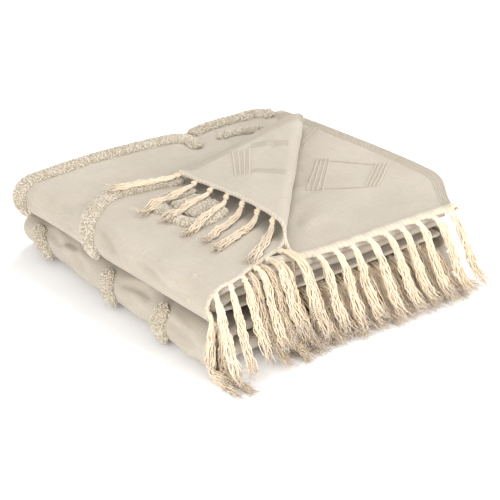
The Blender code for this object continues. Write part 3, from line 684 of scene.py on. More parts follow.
def skin(fold, x, y):
    """Points of the canvas's outer face and the ways out of it, at arrays of places."""
    shape = x.shape
    points, outs = np.empty((*shape, 3)), np.empty((*shape, 3))
    t, v = np.empty(shape), np.empty(shape)
    small = 1e-3
    for index in np.ndindex(shape):
        a = fold_path(fold, x[index])
        front = front_a(a)
        b = (y[index] - front) / (BACK_LINE - front)
        point = place(a, b)
        side = place(a + small, b) - place(a - small, b)
        back = place(a, b + small) - place(a, b - small)
        points[index], outs[index] = point, back.cross(side).normalized()
        t[index], v[index] = a, b
    rise = SHEET / 2 + relief(t, v, points)
    return points + outs * rise[..., None], outs


def curve_points(points, step):
    """Points along a smooth curve through the given ones."""
    ends = [Vector(points[0]) * 2 - Vector(points[1]), *map(Vector, points),
            Vector(points[-1]) * 2 - Vector(points[-2])]
    curve = []
    for before, start, stop, after in zip(ends, ends[1:], ends[2:], ends[3:]):
        count = max(1, round((stop - start).length / step))
        for index in range(count):
            s = index / count
            pull = (stop - before) * 0.5, (after - start) * 0.5
            curve.append(start * (2 * s**3 - 3 * s**2 + 1) + pull[0] * (s**3 - 2 * s**2 + s)
                         + stop * (3 * s**2 - 2 * s**3) + pull[1] * (s**3 - s**2))
    return np.array([*curve, Vector(points[-1])])


def tuft_body(fold, wide, tall, line):
    """Rounded lumpy ridge over the canvas: its points, and the ways out of it."""
    centre = curve_points(line, TUFT_STEP)
    ahead = np.gradient(centre, axis=0)
    side = unit(np.stack([-ahead[:, 1], ahead[:, 0]], -1))
    run = distances(centre)
    from_end = np.minimum(run, run[-1] - run)
    end = np.sqrt(np.clip(1.0 - (1.0 - np.clip((from_end + 0.001) / TUFT_END, 0, 1)) ** 2, 0.02, 1))
    lumps = 1.0 + 0.10 * np.array([noise.noise(Vector((r * 70.0, line[0][0] * 91.0, 5.0))) for r in run])
    half = wide * end * lumps
    high = tall * np.sqrt(end) * (2.0 - lumps)
    angle = np.linspace(-math.pi / 2, math.pi / 2, TUFT_ROUND + 1)
    across, up = np.sin(angle), np.cos(angle) ** 0.75
    spots = centre[:, None] + side[:, None] * (half[:, None] * across)[..., None]
    base, out = skin(fold, spots[..., 0], spots[..., 1])
    body = base + out * (high[:, None] * up - TUFT_SUNK)[..., None]
    return body, grid_normals(body) * -1.0, base - out * TUFT_BASE


def tuft_loops(pile, body, normal, rng):
    """Small bent loops of pile yarn, standing all over a ridge."""
    rows, columns = body.shape[:2]
    spots, outs = [], []
    for i in range(rows):
        width = np.linalg.norm(np.diff(body[i], axis=0), axis=-1).sum()
        count = max(2, int(round(width / TUFT_STEP)))
        for k in range(count):
            a = (k + 0.5 + rng.uniform(-0.35, 0.35)) / count * (columns - 1)
            b = min(max(i + rng.uniform(-0.45, 0.45), 0.0), rows - 1.001)
            low_a, low_b = min(int(a), columns - 2), int(b)
            fa, fb = a - low_a, b - low_b
            corner = body[low_b, low_a] * (1 - fb) + body[low_b + 1, low_a] * fb
            other = body[low_b, low_a + 1] * (1 - fb) + body[low_b + 1, low_a + 1] * fb
            spots.append(corner * (1 - fa) + other * fa)
            outs.append(normal[low_b, low_a])
    spots, outs = np.array(spots), np.array(outs)
    n = len(spots)
    heading = unit(np.cross(outs, rng.normal(size=(n, 3))))
    tilt = unit(outs + rng.normal(size=(n, 3)) * 0.35)
    size = NUB * rng.uniform(0.75, 1.25, n)
    bend = np.linspace(-0.15, math.pi + 0.15, 6)
    lines = (spots[:, None] + heading[:, None] * (np.cos(bend) * size[:, None])[..., None]
             + tilt[:, None] * ((np.sin(bend) * 1.05 - 0.25) * size[:, None])[..., None])
    radii = np.full(6, NUB_YARN) * rng.uniform(0.85, 1.15, n)[:, None]
    reference = np.cross(heading, tilt)[:, None]
    tubes(pile, lines, radii, 4, reference, rng.uniform(0.25, 0.75, n))


def build_tuft(name, row, finish):
    fold, wide, tall, line = row
    rng = np.random.default_rng(sum(map(ord, name)))
    body, normal, base = tuft_body(fold, wide, tall, line)
    pile = Pile()
    points = np.concatenate([body.reshape(-1, 3), base.reshape(-1, 3)])
    # The ridge's body, seen between the loops, gets a low tone: painted shade in the crevices
    pile.add(points, slab_quads(*body.shape[:2])[:, ::-1], tone=0.1)
    tuft_loops(pile, body, normal, rng)
    piece = pile.piece(name + "_Pile", finish, "tufting")
    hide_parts(name)
    return piece, body


# Fringe

def hang_point(hang, start, length):
    """Place on a hang, a length further along it than its point at y of start."""
    left = None
    for (y0, z0), (y1, z1) in zip(hang, hang[1:]):
        piece = math.hypot(y1 - y0, z1 - z0)
        if left is None:
            if start < y1:
                continue
            share = (y0 - start) / (y0 - y1)
            left = length + share * piece
        if left <= piece:
            return blend(y0, y1, left / piece), blend(z0, z1, left / piece)
        left -= piece
    return hang[-1]


def rounded_hang(hang, start, length):
    """The same with the hang's corners rounded off."""
    spread = (-0.006, -0.003, 0.0, 0.003, 0.006)
    spots = [hang_point(hang, start, max(length + shift, 0.0)) for shift in spread]
    return sum(y for y, _ in spots) / len(spots), sum(z for _, z in spots) / len(spots)


def hem_frame(layer, t):
    """A place on a hem: the point, the way out of the cloth, and the cloth's upper side."""
    v = 0.0 if layer == "a" else 7.0
    inner = 0.002 if layer == "a" else 7.0 - 0.002
    point = cloth_point(t, v)
    out = (point - cloth_point(t, inner)).normalized()
    side = cloth_point(t - 1e-3, v) - cloth_point(t + 1e-3, v)
    if side.x < 0.0 and (t > 6.0 or 2.0 < t < 5.0):
        side = -side
    up = side.cross(-out).normalized()
    return point, out, up


def hem_path(panel_end, x):
    """Path place at distance x from the left line of a panel that ends at panel_end."""
    if panel_end in (1, 5) and x < LEFT_LINE:
        return panel_end + (LEFT_LINE - x) / (math.pi * OUTER)
    if panel_end == 1:
        return 1.0 - (x - LEFT_LINE) / (WIDTH - LEFT_LINE)
    start, stop = panel_end - 1, panel_end
    left_first = panel_end in (3, 7)
    far = WIDTH if panel_end == 7 else RIGHT_LINE
    share = (x - LEFT_LINE) / (far - LEFT_LINE)
    return blend(start, stop, share if left_first else 1.0 - share)


def hanging(root, slot, hang, s):
    """Middle of a tassel that hangs from the hem, s beyond its root, in its own slot of x."""
    scale = 1.0 if hang is HANG_FLOOR else height_scale(slot, 0.0)
    y0, z0 = rounded_hang(hang, root.y, 0.0)
    y, z = rounded_hang(hang, root.y, s)
    fade = math.exp(-s / ROOT_EASE)
    fan = FAN * slot / WIDTH * max(0.0, -y) / FAN_REACH
    return Vector((slot + (root.x - slot) * fade + fan, y + (root.y - y0) * fade,
                   z * scale + (root.z - z0 * scale) * fade))


def lying(root, out, turn, length, ground):
    """Middle line of a tassel that lies on the cloth and the tufts, as it falls over them."""
    heading = Vector((out.x, out.y, 0.0)).normalized()
    cos, sin = math.cos(turn), math.sin(turn)
    heading = Vector((heading.x * cos - heading.y * sin, heading.x * sin + heading.y * cos, 0.0))
    spots, heights = [], []
    count = 24
    for k in range(count + 1):
        spot = root + heading * (length * k / count)
        spots.append(spot)
        heights.append(height_under(ground, spot.x, spot.y) + LYING_LIFT)
    heights = np.array(heights)
    heights[0] = root.z
    for _ in range(3):
        raised = np.convolve(np.pad(heights, 2, mode="edge"), (0.1, 0.2, 0.4, 0.2, 0.1), mode="valid")
        heights = np.maximum(heights, raised)
        heights[0] = root.z
    heights = np.convolve(np.pad(heights, 1, mode="edge"), (0.25, 0.5, 0.25), mode="valid")
    heights[0] = root.z
    return [Vector((spot.x, spot.y, z)) for spot, z in zip(spots, heights)]


def height_under(ground, x, y):
    """Height of the highest surface at a place, the turned corner left out."""
    best = 0.0
    for tree, ceiling in ground:
        point, _ = drop(tree, x, y, ceiling(x, y) if callable(ceiling) else ceiling)
        if point is not None:
            best = max(best, point.z)
    return best


def resample(line, count):
    """Evenly spaced points along a line."""
    line = np.array([tuple(p) for p in line])
    run = distances(line)
    at = np.linspace(0.0, run[-1], count)
    return np.stack([np.interp(at, run, line[:, k]) for k in range(3)], -1)


def bundle(pile, line, side, yarns, rng, shade_depth, full, flat):
    """Wavy yarns that run along a tassel's middle line, gathered at its knot and loose at its tips."""
    m = len(line)
    ahead = unit(np.gradient(line, axis=0))
    side = unit(side - ahead * (ahead @ side)[:, None])
    up = np.cross(side, ahead)
    length = np.linalg.norm(np.diff(line, axis=0), axis=-1).sum()
    s = np.linspace(0.0, 1.0, m)
    wide = np.interp(s, BUNDLE_AT, BUNDLE_WIDE) * full
    thick = np.interp(s, BUNDLE_AT, BUNDLE_THICK) * flat
    angle = np.arange(yarns) * GOLDEN + rng.uniform(0, 6.28)
    radius = np.sqrt((np.arange(yarns) + 0.5) / yarns)
    twist = rng.uniform(-1.2, 1.2)
    phase = angle[:, None] + twist * s[None]
    a = np.cos(phase) * radius[:, None] * wide
    b = np.sin(phase) * radius[:, None] * thick
    metres = s * length
    wave = np.zeros((2, yarns, m))
    for pitch, size in YARN_WAVES:
        for axis in (0, 1):
            shift = rng.uniform(0, 6.28, (yarns, 1))
            rate = 2 * math.pi / pitch * rng.uniform(0.8, 1.25, (yarns, 1))
            wave[axis] += size * rng.uniform(0.5, 1.3, (yarns, 1)) * np.sin(rate * metres + shift)
    grow = smooth((s - 0.08) / 0.3)
    a = a + wave[0] * grow
    b = b + wave[1] * grow * 0.8
    reach = rng.uniform(0.86, 1.04, (yarns, 1))
    where = np.clip(s[None] * reach, 0, 1) * (m - 1)
    low = np.minimum(where.astype(int), m - 2)
    share = (where - low)[..., None]
    middle = line[low] * (1 - share) + line[low + 1] * share
    lines = middle + side[low] * a[..., None] + up[low] * b[..., None]
    lines[..., 2] = np.maximum(lines[..., 2], YARN * 1.3)
    taper = np.interp(s, (0, 0.1, 0.9, 1.0), (1.1, 1.0, 0.95, 0.45))
    radii = YARN * rng.uniform(0.85, 1.2, (yarns, 1)) * taper
    # Painted shade: the row's depth of painted shade lowers the tone, most near the root, which paints warm
    # shade onto the yarns
    tone = 0.5 + rng.uniform(-0.18, 0.18, (yarns, 1)) - 0.5 * shade_depth * (1.0 - 0.55 * s[None])
    tubes(pile, lines, np.broadcast_to(radii, lines.shape[:2]), 4, up.mean(axis=0), tone)
    fray(pile, lines, rng, tone)


def fray(pile, lines, rng, tone):
    """Fine loose fibres at the yarns' ends."""
    tips = np.repeat(lines[:, -1], FIBRES, axis=0)
    ahead = np.repeat(unit(lines[:, -1] - lines[:, -3]), FIBRES, axis=0)
    way = unit(ahead + rng.normal(size=ahead.shape) * 0.35)
    length = rng.uniform(*FIBRE_LENGTH, len(tips))
    s = np.linspace(-0.25, 1.0, 5)
    bend = rng.normal(size=ahead.shape) * 0.0012
    fibres = (tips[:, None] + way[:, None] * (s * length[:, None])[..., None]
              + bend[:, None] * (s**2)[:, None])
    fibres[..., 2] = np.maximum(fibres[..., 2], 0.0005)
    radii = np.broadcast_to(np.interp(s, (-0.25, 1.0), FIBRE_RADII), fibres.shape[:2])
    tubes(pile, fibres, radii, 3, np.array((0.3, 0.2, 0.93)), np.repeat(tone[:, -1], FIBRES))


def knot(pile, at, ahead, side, rng, shade_depth, size=1.0):
    """The turns of yarn that tie a tassel at its root."""
    up = np.cross(side, ahead)
    turn = np.linspace(0.0, rng.uniform(3.2, 4.2) * math.pi, 16)
    lift = np.linspace(-0.0012, 0.0014, 16) + 0.0005 * np.sin(turn * 0.5 + rng.uniform(0, 6))
    line = at + (np.outer(np.cos(turn), side) * KNOT_WIDE + np.outer(np.sin(turn), up) * KNOT_THICK
                 + np.outer(lift, ahead)) * size
    radii = np.full((1, 16), KNOT_YARN)
    radii[:, (0, -1)] = KNOT_END
    line[:, 2] = np.maximum(line[:, 2], 0.0010)
    # Painted shade: the knot's tone is lowered by its row's depth of painted shade
    tubes(pile, line[None], radii * size, 6, ahead, np.full((1, 16), 0.5 - 0.3 * shade_depth))


def hem_band(pile, panel_end, layer, places, half, thick, scallop):
    """Ribbed rounded edge along a hem, drawn out a little at each tassel's root."""
    far = WIDTH if panel_end in (1, 7) else RIGHT_LINE
    near = HEM_NEAR if panel_end in (1, 5) else LEFT_LINE
    xs = np.arange(near, far, HEM_STEP)
    rings = []
    for x in xs:
        t = min(max(hem_path(panel_end, x), 0.0), 7.0)
        point, out, up = hem_frame(layer, t)
        away = np.abs(np.subtract(places, x)).min()
        pull = scallop * math.exp(-(away / HEM_PULL) ** 2)
        middle = np.array(point) - np.array(out) * (half * 0.72 - pull / 2)
        wide = half + pull / 2
        grain = 1.0 + 0.10 * noise.noise(Vector((x * 420.0, panel_end, 3.0)))
        ring = []
        for turn in np.arange(12) * math.pi / 6:
            rib = 1.0 + RIB_SHARE * math.sin(x * 2 * math.pi / RIB_PITCH + turn)
            flat = math.copysign(abs(math.sin(turn)) ** 0.8, math.sin(turn))
            rise = np.array(up) * flat * thick * rib * grain
            ring.append(middle + np.array(out) * math.cos(turn) * wide + rise)
        rings.append(ring)
    rings = np.array(rings)
    rings[..., 2] = np.maximum(rings[..., 2], HEM_GAP)
    n, m = rings.shape[:2]
    i, k = np.meshgrid(np.arange(n - 1), np.arange(m), indexing="ij")
    after = (k + 1) % m
    quads = np.stack([i * m + k, i * m + after, (i + 1) * m + after, (i + 1) * m + k], -1).reshape(-1, 4)
    ends = np.array([[j, (j + 1) % m, n * m] for j in range(m)]
                    + [[(n - 1) * m + (j + 1) % m, (n - 1) * m + j, n * m + 1] for j in range(m)])
    points = np.concatenate([rings.reshape(-1, 3), rings[:1].mean(axis=1), rings[-1:].mean(axis=1)])
    uv = np.stack([xs[np.stack([i, i, i + 1, i + 1], -1)], np.stack([k, k + 1, k + 1, k], -1) / m], -1)
    pile.add(points, quads, ends, uv.reshape(-1, 2))


def falling(root, s, rest, turn=FALL_TURN):
    """Middle of a tassel that leaves a hem outward, falls straight down and lies out on what is below."""
    height = max(root.z - rest - 2 * turn, 0.0)
    quarter = turn * math.pi / 2
    if s < quarter:
        out, z = turn * math.sin(s / turn), root.z - turn * (1.0 - math.cos(s / turn))
    elif s < quarter + height:
        out, z = turn, root.z - turn - (s - quarter)
    elif s < 2 * quarter + height:
        angle = (s - quarter - height) / turn
        out, z = turn * (2.0 - math.cos(angle)), root.z - height - turn * (1.0 + math.sin(angle))
    else:
        out, z = 2 * turn + (s - 2 * quarter - height), min(root.z, rest)
    return Vector((root.x, root.y - out, z))


def build_hems(finish):
    pile = Pile()
    for name, (panel_end, layer, places, *_) in FRINGES.items():
        band = UPPER_HEM_BAND if name == "Fringe_2_Upper" else HEM_BAND
        hem_band(pile, panel_end, layer, places, *band)
    return pile.piece("Hem_Twill", finish, "canvas")


def tassel(pile, layer, t, middle, rng, yarns, steps, full, shade_depth, flat=1.0):
    """One knotted tassel whose middle line is made by a function of its root and way out."""
    point, out, up = hem_frame(layer, t)
    root = point + out * ROOT_OUT
    side = np.array(up.cross(out).normalized())
    line = resample(middle(root, out), steps)
    ahead = unit(line[3] - line[0])
    bundle(pile, line, side, yarns, rng, shade_depth, full, flat)
    knot(pile, line[0] + ahead * KNOT_OUT, ahead, side, rng, shade_depth)


def build_fringe(name, row, finish, ground):
    panel_end, layer, places, hang, yarns, steps, full, shade_depth = row
    rng = np.random.default_rng(sum(map(ord, name)) * 7)
    pile = Pile()
    for number, x in enumerate(places):
        t = hem_path(panel_end, x)
        turned = name == "Fringe_1_Turned" and crease_distance(place(t, 0.0)) > LYING_FROM
        length = TASSEL_LENGTH * rng.uniform(0.94, 1.04) * (SECOND_SHORT if hang is HANG_SECOND else 1.0)
        turn = LYING_TURNS[number % len(LYING_TURNS)] + rng.uniform(-0.05, 0.05)
        sway, drift = rng.uniform(-SWAY, SWAY), rng.uniform(-DRIFT, DRIFT)

        def middle(root, out):
            if turned:
                return lying(root, out, turn, length * LYING_SHORT, ground)
            line = []
            for s in np.linspace(0.0, length, MIDDLE_STEPS):
                spot = falling(root, s, FALL_RESTS[number]) if x < 0.0 else hanging(root, x, hang, s)
                spot.x += sway * math.sin(math.pi * s / length) + drift * s / length
                spot.y -= HANG_FRONT * smooth(s / HANG_FROM)
                line.append(spot)
            return line

        more, flat = (2, 0.60) if turned else (0, 1.0)
        tassel(pile, layer, t, middle, rng, yarns + more, steps, full, shade_depth, flat)
    if name == "Fringe_2_Upper":
        # The hem's right corner is tied off in a bigger knot
        point, out, up = hem_frame(layer, hem_path(panel_end, WIDTH - 0.002))
        side = np.array(up.cross(out).normalized())
        knot(pile, np.array(point), np.array(out), side, rng, 0.2, 1.9)
    piece = pile.piece(name + "_Yarn", finish, "fringe")
    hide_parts(name)
    return piece


def build_fold_tassels(finish):
    """The few tassels of the lower fold's end, which lie on the floor under the long row."""
    rng = np.random.default_rng(5)
    pile = Pile()
    for x in FOLD_TASSELS:
        reach = np.linspace(0.0, TASSEL_LENGTH * rng.uniform(0.55, 0.66), MIDDLE_STEPS)

        def middle(root, out):
            return [falling(root, s, FOLD_REST, FOLD_TURN) for s in reach]

        tassel(pile, "a", hem_path(5, x), middle, rng, 16, 32, 0.9, 0.0)
    return pile.piece("Fold_Tassels", finish, "fringe")


# Stitching on the reverse of the cloth: rows of raised stitches between two edges of a bar.
# Near edge's two ends, far edge's two ends, number of rows, stitch length, width and height
BARS = (
    ((0.193, 0.211), (0.207, 0.2005), (0.157, 0.158), (0.168, 0.150), 4, 0.0034, 0.0024, 0.0007),
    ((0.2190, 0.2125), (0.2110, 0.2045), (0.2500, 0.1890), (0.2425, 0.1815), 5, 0.0022, 0.0011, 0.0004),
    ((0.1780, 0.1580), (0.1700, 0.1500), (0.2015, 0.1310), (0.1940, 0.1235), 5, 0.0022, 0.0011, 0.0004),
    ((0.283, 0.182), (0.293, 0.175), (0.222, 0.126), (0.235, 0.116), 4, 0.0034, 0.0024, 0.0007),
    ((0.322, 0.134), (0.332, 0.126), (0.274, 0.095), (0.2815, 0.086), 4, 0.0034, 0.0024, 0.0007),
    ((0.3344, 0.2416), (0.3250, 0.2590), (0.2900, 0.2157), (0.2810, 0.2330), 5, 0.0034, 0.0022, 0.0006),
    ((0.280, 0.1800), (0.2865, 0.1750), (0.316, 0.1340), (0.3225, 0.1290), 4, 0.0022, 0.0011, 0.0004),
    ((0.226, 0.1270), (0.2325, 0.1200), (0.270, 0.0970), (0.2765, 0.0900), 4, 0.0022, 0.0011, 0.0004),
)
SELVAGE_ROWS = 5
SELVAGE_PITCH = 0.0026
SELVAGE_STITCH = (0.0030, 0.0016, 0.0004)
MOST_STEP = 0.005            # a row of stitches stops where the surface under it jumps by this
STITCH_STEP = 0.004          # and a stitch is left out where it jumps under the stitch by this
STITCH_SUNK = 0.0003         # how far a stitch sits in the cloth
STITCH_WANDER = 0.00025      # and how far out of its row, at most


def on_top(tree, spots, near=None):
    """Places and normals of the surface under the given ones, or None where it is another layer."""
    found = []
    for spot in spots:
        point, out = drop(tree, spot[0], spot[1], ABOVE_ALL)
        if point is None or near is not None and abs(point.z - near) > MOST_STEP:
            return None
        found.append((np.array(point), np.array(out) * (1.0 if out.z > 0.0 else -1.0)))
    return found


def seam(pile, tree, line, stitch, rng, heights):
    """A row of raised stitches along a line of places on the cloth's upper side."""
    length, width, height = stitch
    line = np.asarray(line, float)
    run = distances(line)
    count = max(1, int(run[-1] / length))
    shares = np.array((-0.48, -0.25, 0.0, 0.25, 0.48))
    arch = np.cos(shares * math.pi) ** 0.6
    stitches = []
    for k in range(count):
        at = (k + 0.5) / count * run[-1]
        where = at + shares * length
        spots = np.stack([np.interp(where, run, line[:, 0]), np.interp(where, run, line[:, 1])], -1)
        spots += rng.uniform(-STITCH_WANDER, STITCH_WANDER, 2)
        found = on_top(tree, spots, np.interp(at, run, heights))
        if found is not None and np.ptp([p[2] for p, _ in found]) < STITCH_STEP:
            stitches.append([p + out * (height * rise - STITCH_SUNK) for (p, out), rise in zip(found, arch)])
    if stitches:
        stitches = np.array(stitches)
        radii = np.broadcast_to(np.array((0.45, 0.85, 1.0, 0.85, 0.45)) * width / 2, stitches.shape[:2])
        tubes(pile, stitches, radii, 5, np.array((0.0, 0.0, 1.0)), rng.uniform(0.35, 0.65, len(stitches)))


def build_stitching(tree, finish):
    """The bars' rows of stitches, and those along the free edges of the two upper layers."""
    rng = np.random.default_rng(11)
    pile = Pile()
    for near_a, near_b, far_a, far_b, rows, *stitch in BARS:
        for row in range(rows):
            share = row / (rows - 1)
            start = blend(np.array(near_a), np.array(near_b), share)
            stop = blend(np.array(far_a), np.array(far_b), share)
            top = on_top(tree, [start])
            seam(pile, tree, [start, stop], stitch, rng, [top[0][0][2]] * 2)
    for row in range(SELVAGE_ROWS):
        t = 0.004 + SELVAGE_PITCH * row / (WIDTH - LEFT_LINE)
        for points in ([cloth_point(t, v) for v in np.linspace(0.03, 0.97, 60)],
                       [place(t, v) for v in np.linspace(6.02, 6.97, 60)]):
            seam(pile, tree, [p.xy for p in points], SELVAGE_STITCH, rng, [p.z for p in points])
    return pile.piece("Stitched_Bars", finish, "canvas")


# Finishes

class Nodes:
    """Short hand for a material's node tree."""

    def __init__(self, name):
        self.material = bpy.data.materials.new(name)
        self.material.use_nodes = True
        self.tree = self.material.node_tree
        self.shader = self.tree.nodes["Principled BSDF"]

    def add(self, kind, settings=None, **inputs):
        node = self.tree.nodes.new("ShaderNode" + kind)
        for key, value in (settings or {}).items():
            setattr(node, key, value)
        for key, value in inputs.items():
            self.put(node, key.replace("_", " "), value)
        return node

    def put(self, node, key, value):
        socket = node.inputs[int(key[2:])] if key.startswith("at") and key[2:].isdigit() else node.inputs[key]
        if isinstance(value, bpy.types.NodeSocket):
            self.tree.links.new(value, socket)
        else:
            socket.default_value = value

    def noise(self, vector, scale, detail=3.0):
        return self.add("TexNoise", Vector=vector, Scale=scale, Detail=detail, Roughness=0.55).outputs["Fac"]

    def wave(self, vector, way, scale, distortion, **inputs):
        settings = {"wave_type": "BANDS", "bands_direction": way}
        return self.add("TexWave", settings, Vector=vector, Scale=scale, Distortion=distortion,
                        **inputs).outputs["Fac"]

    def scaled(self, vector, scale):
        return self.add("Mapping", Vector=vector, Scale=scale).outputs["Vector"]

    def math(self, how, a, b):
        return self.add("Math", {"operation": how}, at0=a, at1=b).outputs[0]

    def mix(self, share, a, b):
        node = self.add("Mix", {"data_type": "RGBA"})
        self.put(node, "Factor", share)
        for index, value in ((6, a), (7, b)):
            if isinstance(value, bpy.types.NodeSocket):
                self.tree.links.new(value, node.inputs[index])
            else:
                node.inputs[index].default_value = (*value, 1.0)
        return node.outputs[2]

    def ramp(self, value, low, high, to_low=0.0, to_high=1.0):
        return self.add("MapRange", Value=value, From_Min=low, From_Max=high,
                        To_Min=to_low, To_Max=to_high).outputs[0]

    def bump(self, height, distance, strength, below=None):
        node = self.add("Bump", Height=height, Distance=distance, Strength=strength)
        if below is not None:
            self.put(node, "Normal", below)
        return node.outputs["Normal"]

    def finish(self, colour, normal, roughness, sheen, glow=0.0):
        self.put(self.shader, "Base Color", colour)
        self.put(self.shader, "Normal", normal)
        self.put(self.shader, "Roughness", roughness)
        self.shader.inputs["Subsurface Weight"].default_value = glow
        self.shader.inputs["Subsurface Radius"].default_value = (1.0, 0.72, 0.45)
        self.shader.inputs["Subsurface Scale"].default_value = 0.003
        self.shader.inputs["Sheen Weight"].default_value = sheen
        self.shader.inputs["Sheen Roughness"].default_value = 0.5
        self.shader.inputs["Specular IOR Level"].default_value = 0.15
        return self.material


def canvas_finish():
    """Unbleached plain weave with slubs, a mottled tone and small dark husks."""
    n = Nodes("Ecru_Canvas")
    uv = n.add("TexCoord").outputs["UV"]
    weft, warp = (n.wave(uv, way, 340.0, 1.2, Detail=1.0, Detail_Scale=0.4) for way in "XY")
    weave = n.math("MAXIMUM", weft, warp)
    slub_long = n.noise(n.scaled(uv, (700.0, 45.0, 1.0)), 1.0, 2.0)
    slub_wide = n.noise(n.scaled(uv, (45.0, 700.0, 1.0)), 1.0, 2.0)
    slub = n.math("ADD", slub_long, slub_wide)
    cloud = n.noise(uv, 14.0, 3.0)
    grain = n.noise(uv, 620.0, 2.0)
    cells = n.add("TexVoronoi", {"feature": "F1"}, Vector=n.scaled(uv, (95.0, 60.0, 1.0)), Scale=1.0,
                  Randomness=1.0)
    chosen = n.math("GREATER_THAN", n.add("SeparateColor", Color=cells.outputs["Color"]).outputs[0], 0.60)
    speck = n.math("LESS_THAN", cells.outputs["Distance"], 0.055)
    husk = n.math("MULTIPLY", chosen, speck)
    colour = n.mix(n.ramp(cloud, 0.35, 0.65), (0.466, 0.414, 0.343), (0.530, 0.476, 0.400))
    colour = n.mix(n.ramp(slub, 0.75, 1.25, 0.0, 0.45), colour, (0.380, 0.325, 0.245))
    colour = n.mix(n.ramp(grain, 0.35, 0.65, 0.0, 0.30), colour, (0.360, 0.308, 0.235))
    colour = n.mix(n.math("MULTIPLY", husk, 0.65), colour, (0.30, 0.22, 0.14))
    fine = n.bump(weave, 0.00022, 0.7)
    normal = n.bump(slub, 0.00030, 0.8, fine)
    normal = n.bump(grain, 0.00025, 0.6, normal)
    return n.finish(colour, normal, n.ramp(slub, 0.7, 1.3, 0.86, 0.96), 0.18, 0.25)


def yarn_colour(n, light, dark, painted_shade):
    """Colour along the yarns: light or dark by cloud, and the painted shade colour where the tone attribute
    falls. That attribute is each yarn's random tone, lowered where shade is painted: on the tufts' bodies
    between the loops, and towards the fringe's roots.
    """
    tone = n.add("Attribute", {"attribute_name": "tone"}).outputs["Fac"]
    position = n.add("TexCoord").outputs["Object"]
    cloud = n.noise(position, 60.0, 3.0)
    colour = n.mix(n.ramp(cloud, 0.3, 0.7), light, dark)
    return n.mix(n.ramp(tone, 0.62, 0.0, 0.0, 1.0), colour, painted_shade), position


def fringe_finish():
    n = Nodes("Fringe_Cotton")
    # The third colour is painted warm shade: the amber that light takes deep in the yarns
    colour, position = yarn_colour(n, (0.700, 0.580, 0.445), (0.650, 0.525, 0.390), (0.940, 0.725, 0.505))
    uv = n.add("TexCoord").outputs["UV"]
    twist = n.wave(n.scaled(uv, (700.0, 2.0, 1.0)), "DIAGONAL", 0.33, 0.6)
    fuzz = n.noise(position, 1500.0, 2.0)
    normal = n.bump(fuzz, 0.0003, 0.6, n.bump(twist, 0.0003, 0.8))
    return n.finish(colour, normal, n.ramp(fuzz, 0.3, 0.7, 0.86, 0.97), 0.25, 0.35)


def hem_finish():
    """The fuzzy twill of the hems: slanting ribs across a soft, paler yarn."""
    n = Nodes("Hem_Twill")
    coords = n.add("TexCoord")
    uv, position = coords.outputs["UV"], coords.outputs["Object"]
    ribs = n.wave(n.scaled(uv, (250.0, 3.0, 1.0)), "DIAGONAL", 0.45, 1.5)
    fuzz = n.noise(position, 800.0, 3.0)
    colour = n.mix(n.ramp(fuzz, 0.3, 0.7), (0.580, 0.515, 0.420), (0.500, 0.438, 0.346))
    colour = n.mix(n.math("MULTIPLY", ribs, 0.30), colour, (0.380, 0.315, 0.230))
    return n.finish(colour, n.bump(fuzz, 0.0005, 0.7, n.bump(ribs, 0.0006, 0.8)), 0.93, 0.25)


def tufting_finish():
    n = Nodes("Boucle_Pile")
    # The third colour is painted shade, for the crevices between the pile loops
    colour, position = yarn_colour(n, (0.660, 0.600, 0.500), (0.590, 0.530, 0.435), (0.330, 0.270, 0.190))
    fuzz = n.noise(position, 900.0, 3.0)
    normal = n.bump(fuzz, 0.0005, 0.8)
    return n.finish(colour, normal, n.ramp(fuzz, 0.3, 0.7, 0.88, 0.98), 0.25)


def floor_finish():
    n = Nodes("Studio_Floor")
    position = n.add("TexCoord").outputs["Object"]
    tone = n.ramp(n.noise(position, 3.0), 0.3, 0.7, 0.0, 1.0)
    colour = n.mix(tone, (0.93, 0.93, 0.93), (0.95, 0.95, 0.95))
    return n.finish(colour, n.bump(n.noise(position, 200.0), 0.0001, 0.2), 0.8, 0.0)


# Camera, light and floor

AZIMUTH, ELEVATION, DISTANCE = -37.4, 27.6, 2.3
TARGET = Vector((0.1564, 0.1564, 0.0276))
LENS = 163.8
SHIFT = (0.0274, -0.0228)
WORLD_LIGHT = 0.84
LIGHTS = (                   # name, place, side and watts
    ("Key", (0.9, 0.7, 1.9), 1.0, 24.0),
    ("Fill", (-1.6, -0.8, 0.6), 1.4, 27.0),
    ("Front", (0.3, -1.7, 0.5), 1.2, 28.0),
)


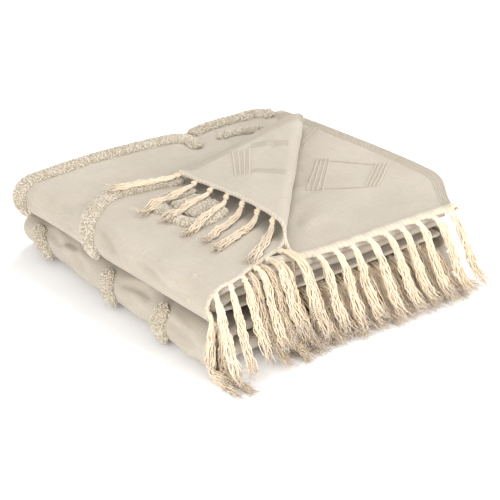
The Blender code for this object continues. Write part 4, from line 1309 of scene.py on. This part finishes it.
def build_camera():
    data = bpy.data.cameras.new("Camera")
    camera = bpy.data.objects.new("Camera", data)
    bpy.context.scene.collection.objects.link(camera)
    a, e = math.radians(AZIMUTH), math.radians(ELEVATION)
    back = Vector((math.sin(a) * math.cos(e), -math.cos(a) * math.cos(e), math.sin(e)))
    camera.location = TARGET - ORIGIN + back * DISTANCE
    camera.rotation_mode = "QUATERNION"
    camera.rotation_quaternion = (-back).to_track_quat("-Z", "Y")
    data.lens, data.sensor_width = LENS, 36.0
    data.shift_x, data.shift_y = SHIFT
    data.clip_start, data.clip_end = 0.05, 50.0
    bpy.context.scene.camera = camera


def area_light(name, spot, size, watts):
    data = bpy.data.lights.new(name, "AREA")
    data.shape = "SQUARE"
    data.size = size
    data.energy = watts
    light = bpy.data.objects.new(name, data)
    bpy.context.scene.collection.objects.link(light)
    light.location = spot
    light.rotation_mode = "QUATERNION"
    light.rotation_quaternion = (-Vector(spot)).to_track_quat("-Z", "Y")


def build_studio():
    scene = bpy.context.scene
    scene.view_settings.view_transform = "Standard"
    world = bpy.data.worlds.new("Studio")
    world.use_nodes = True
    background = world.node_tree.nodes["Background"]
    background.inputs["Color"].default_value = (1.0, 1.0, 1.0, 1.0)
    background.inputs["Strength"].default_value = WORLD_LIGHT
    scene.world = world
    for row in LIGHTS:
        area_light(*row)
    mesh = bpy.data.meshes.new("Floor")
    mesh.from_pydata([(-4, -4, 0), (4, -4, 0), (4, 4, 0), (-4, 4, 0)], [], [(0, 1, 2, 3)])
    mesh.materials.append(floor_finish())
    floor = bpy.data.objects.new("Floor", mesh)
    scene.collection.objects.link(floor)


def main():
    build_camera()
    build_studio()
    canvas_look, tuft_look = canvas_finish(), tufting_finish()
    fringe_look, hem_look = fringe_finish(), hem_finish()
    canvas, tree = build_canvas(canvas_look)
    extras = [build_stitching(tree, hem_look), build_hems(hem_look)]
    ground = [(tree, lambda x, y: top_height(x, y) + UNDER_TURNED)]
    for name, row in TUFTS.items():
        piece, body = build_tuft(name, row, tuft_look)
        extras.append(piece)
        quads = grid_quads(*body.shape[:2]).tolist()
        ground.append((BVHTree.FromPolygons([tuple(p) for p in body.reshape(-1, 3)], quads), ABOVE_ALL))
    for name, row in FRINGES.items():
        extras.append(build_fringe(name, row, fringe_look, ground))
    extras.append(build_fold_tassels(fringe_look))


main()
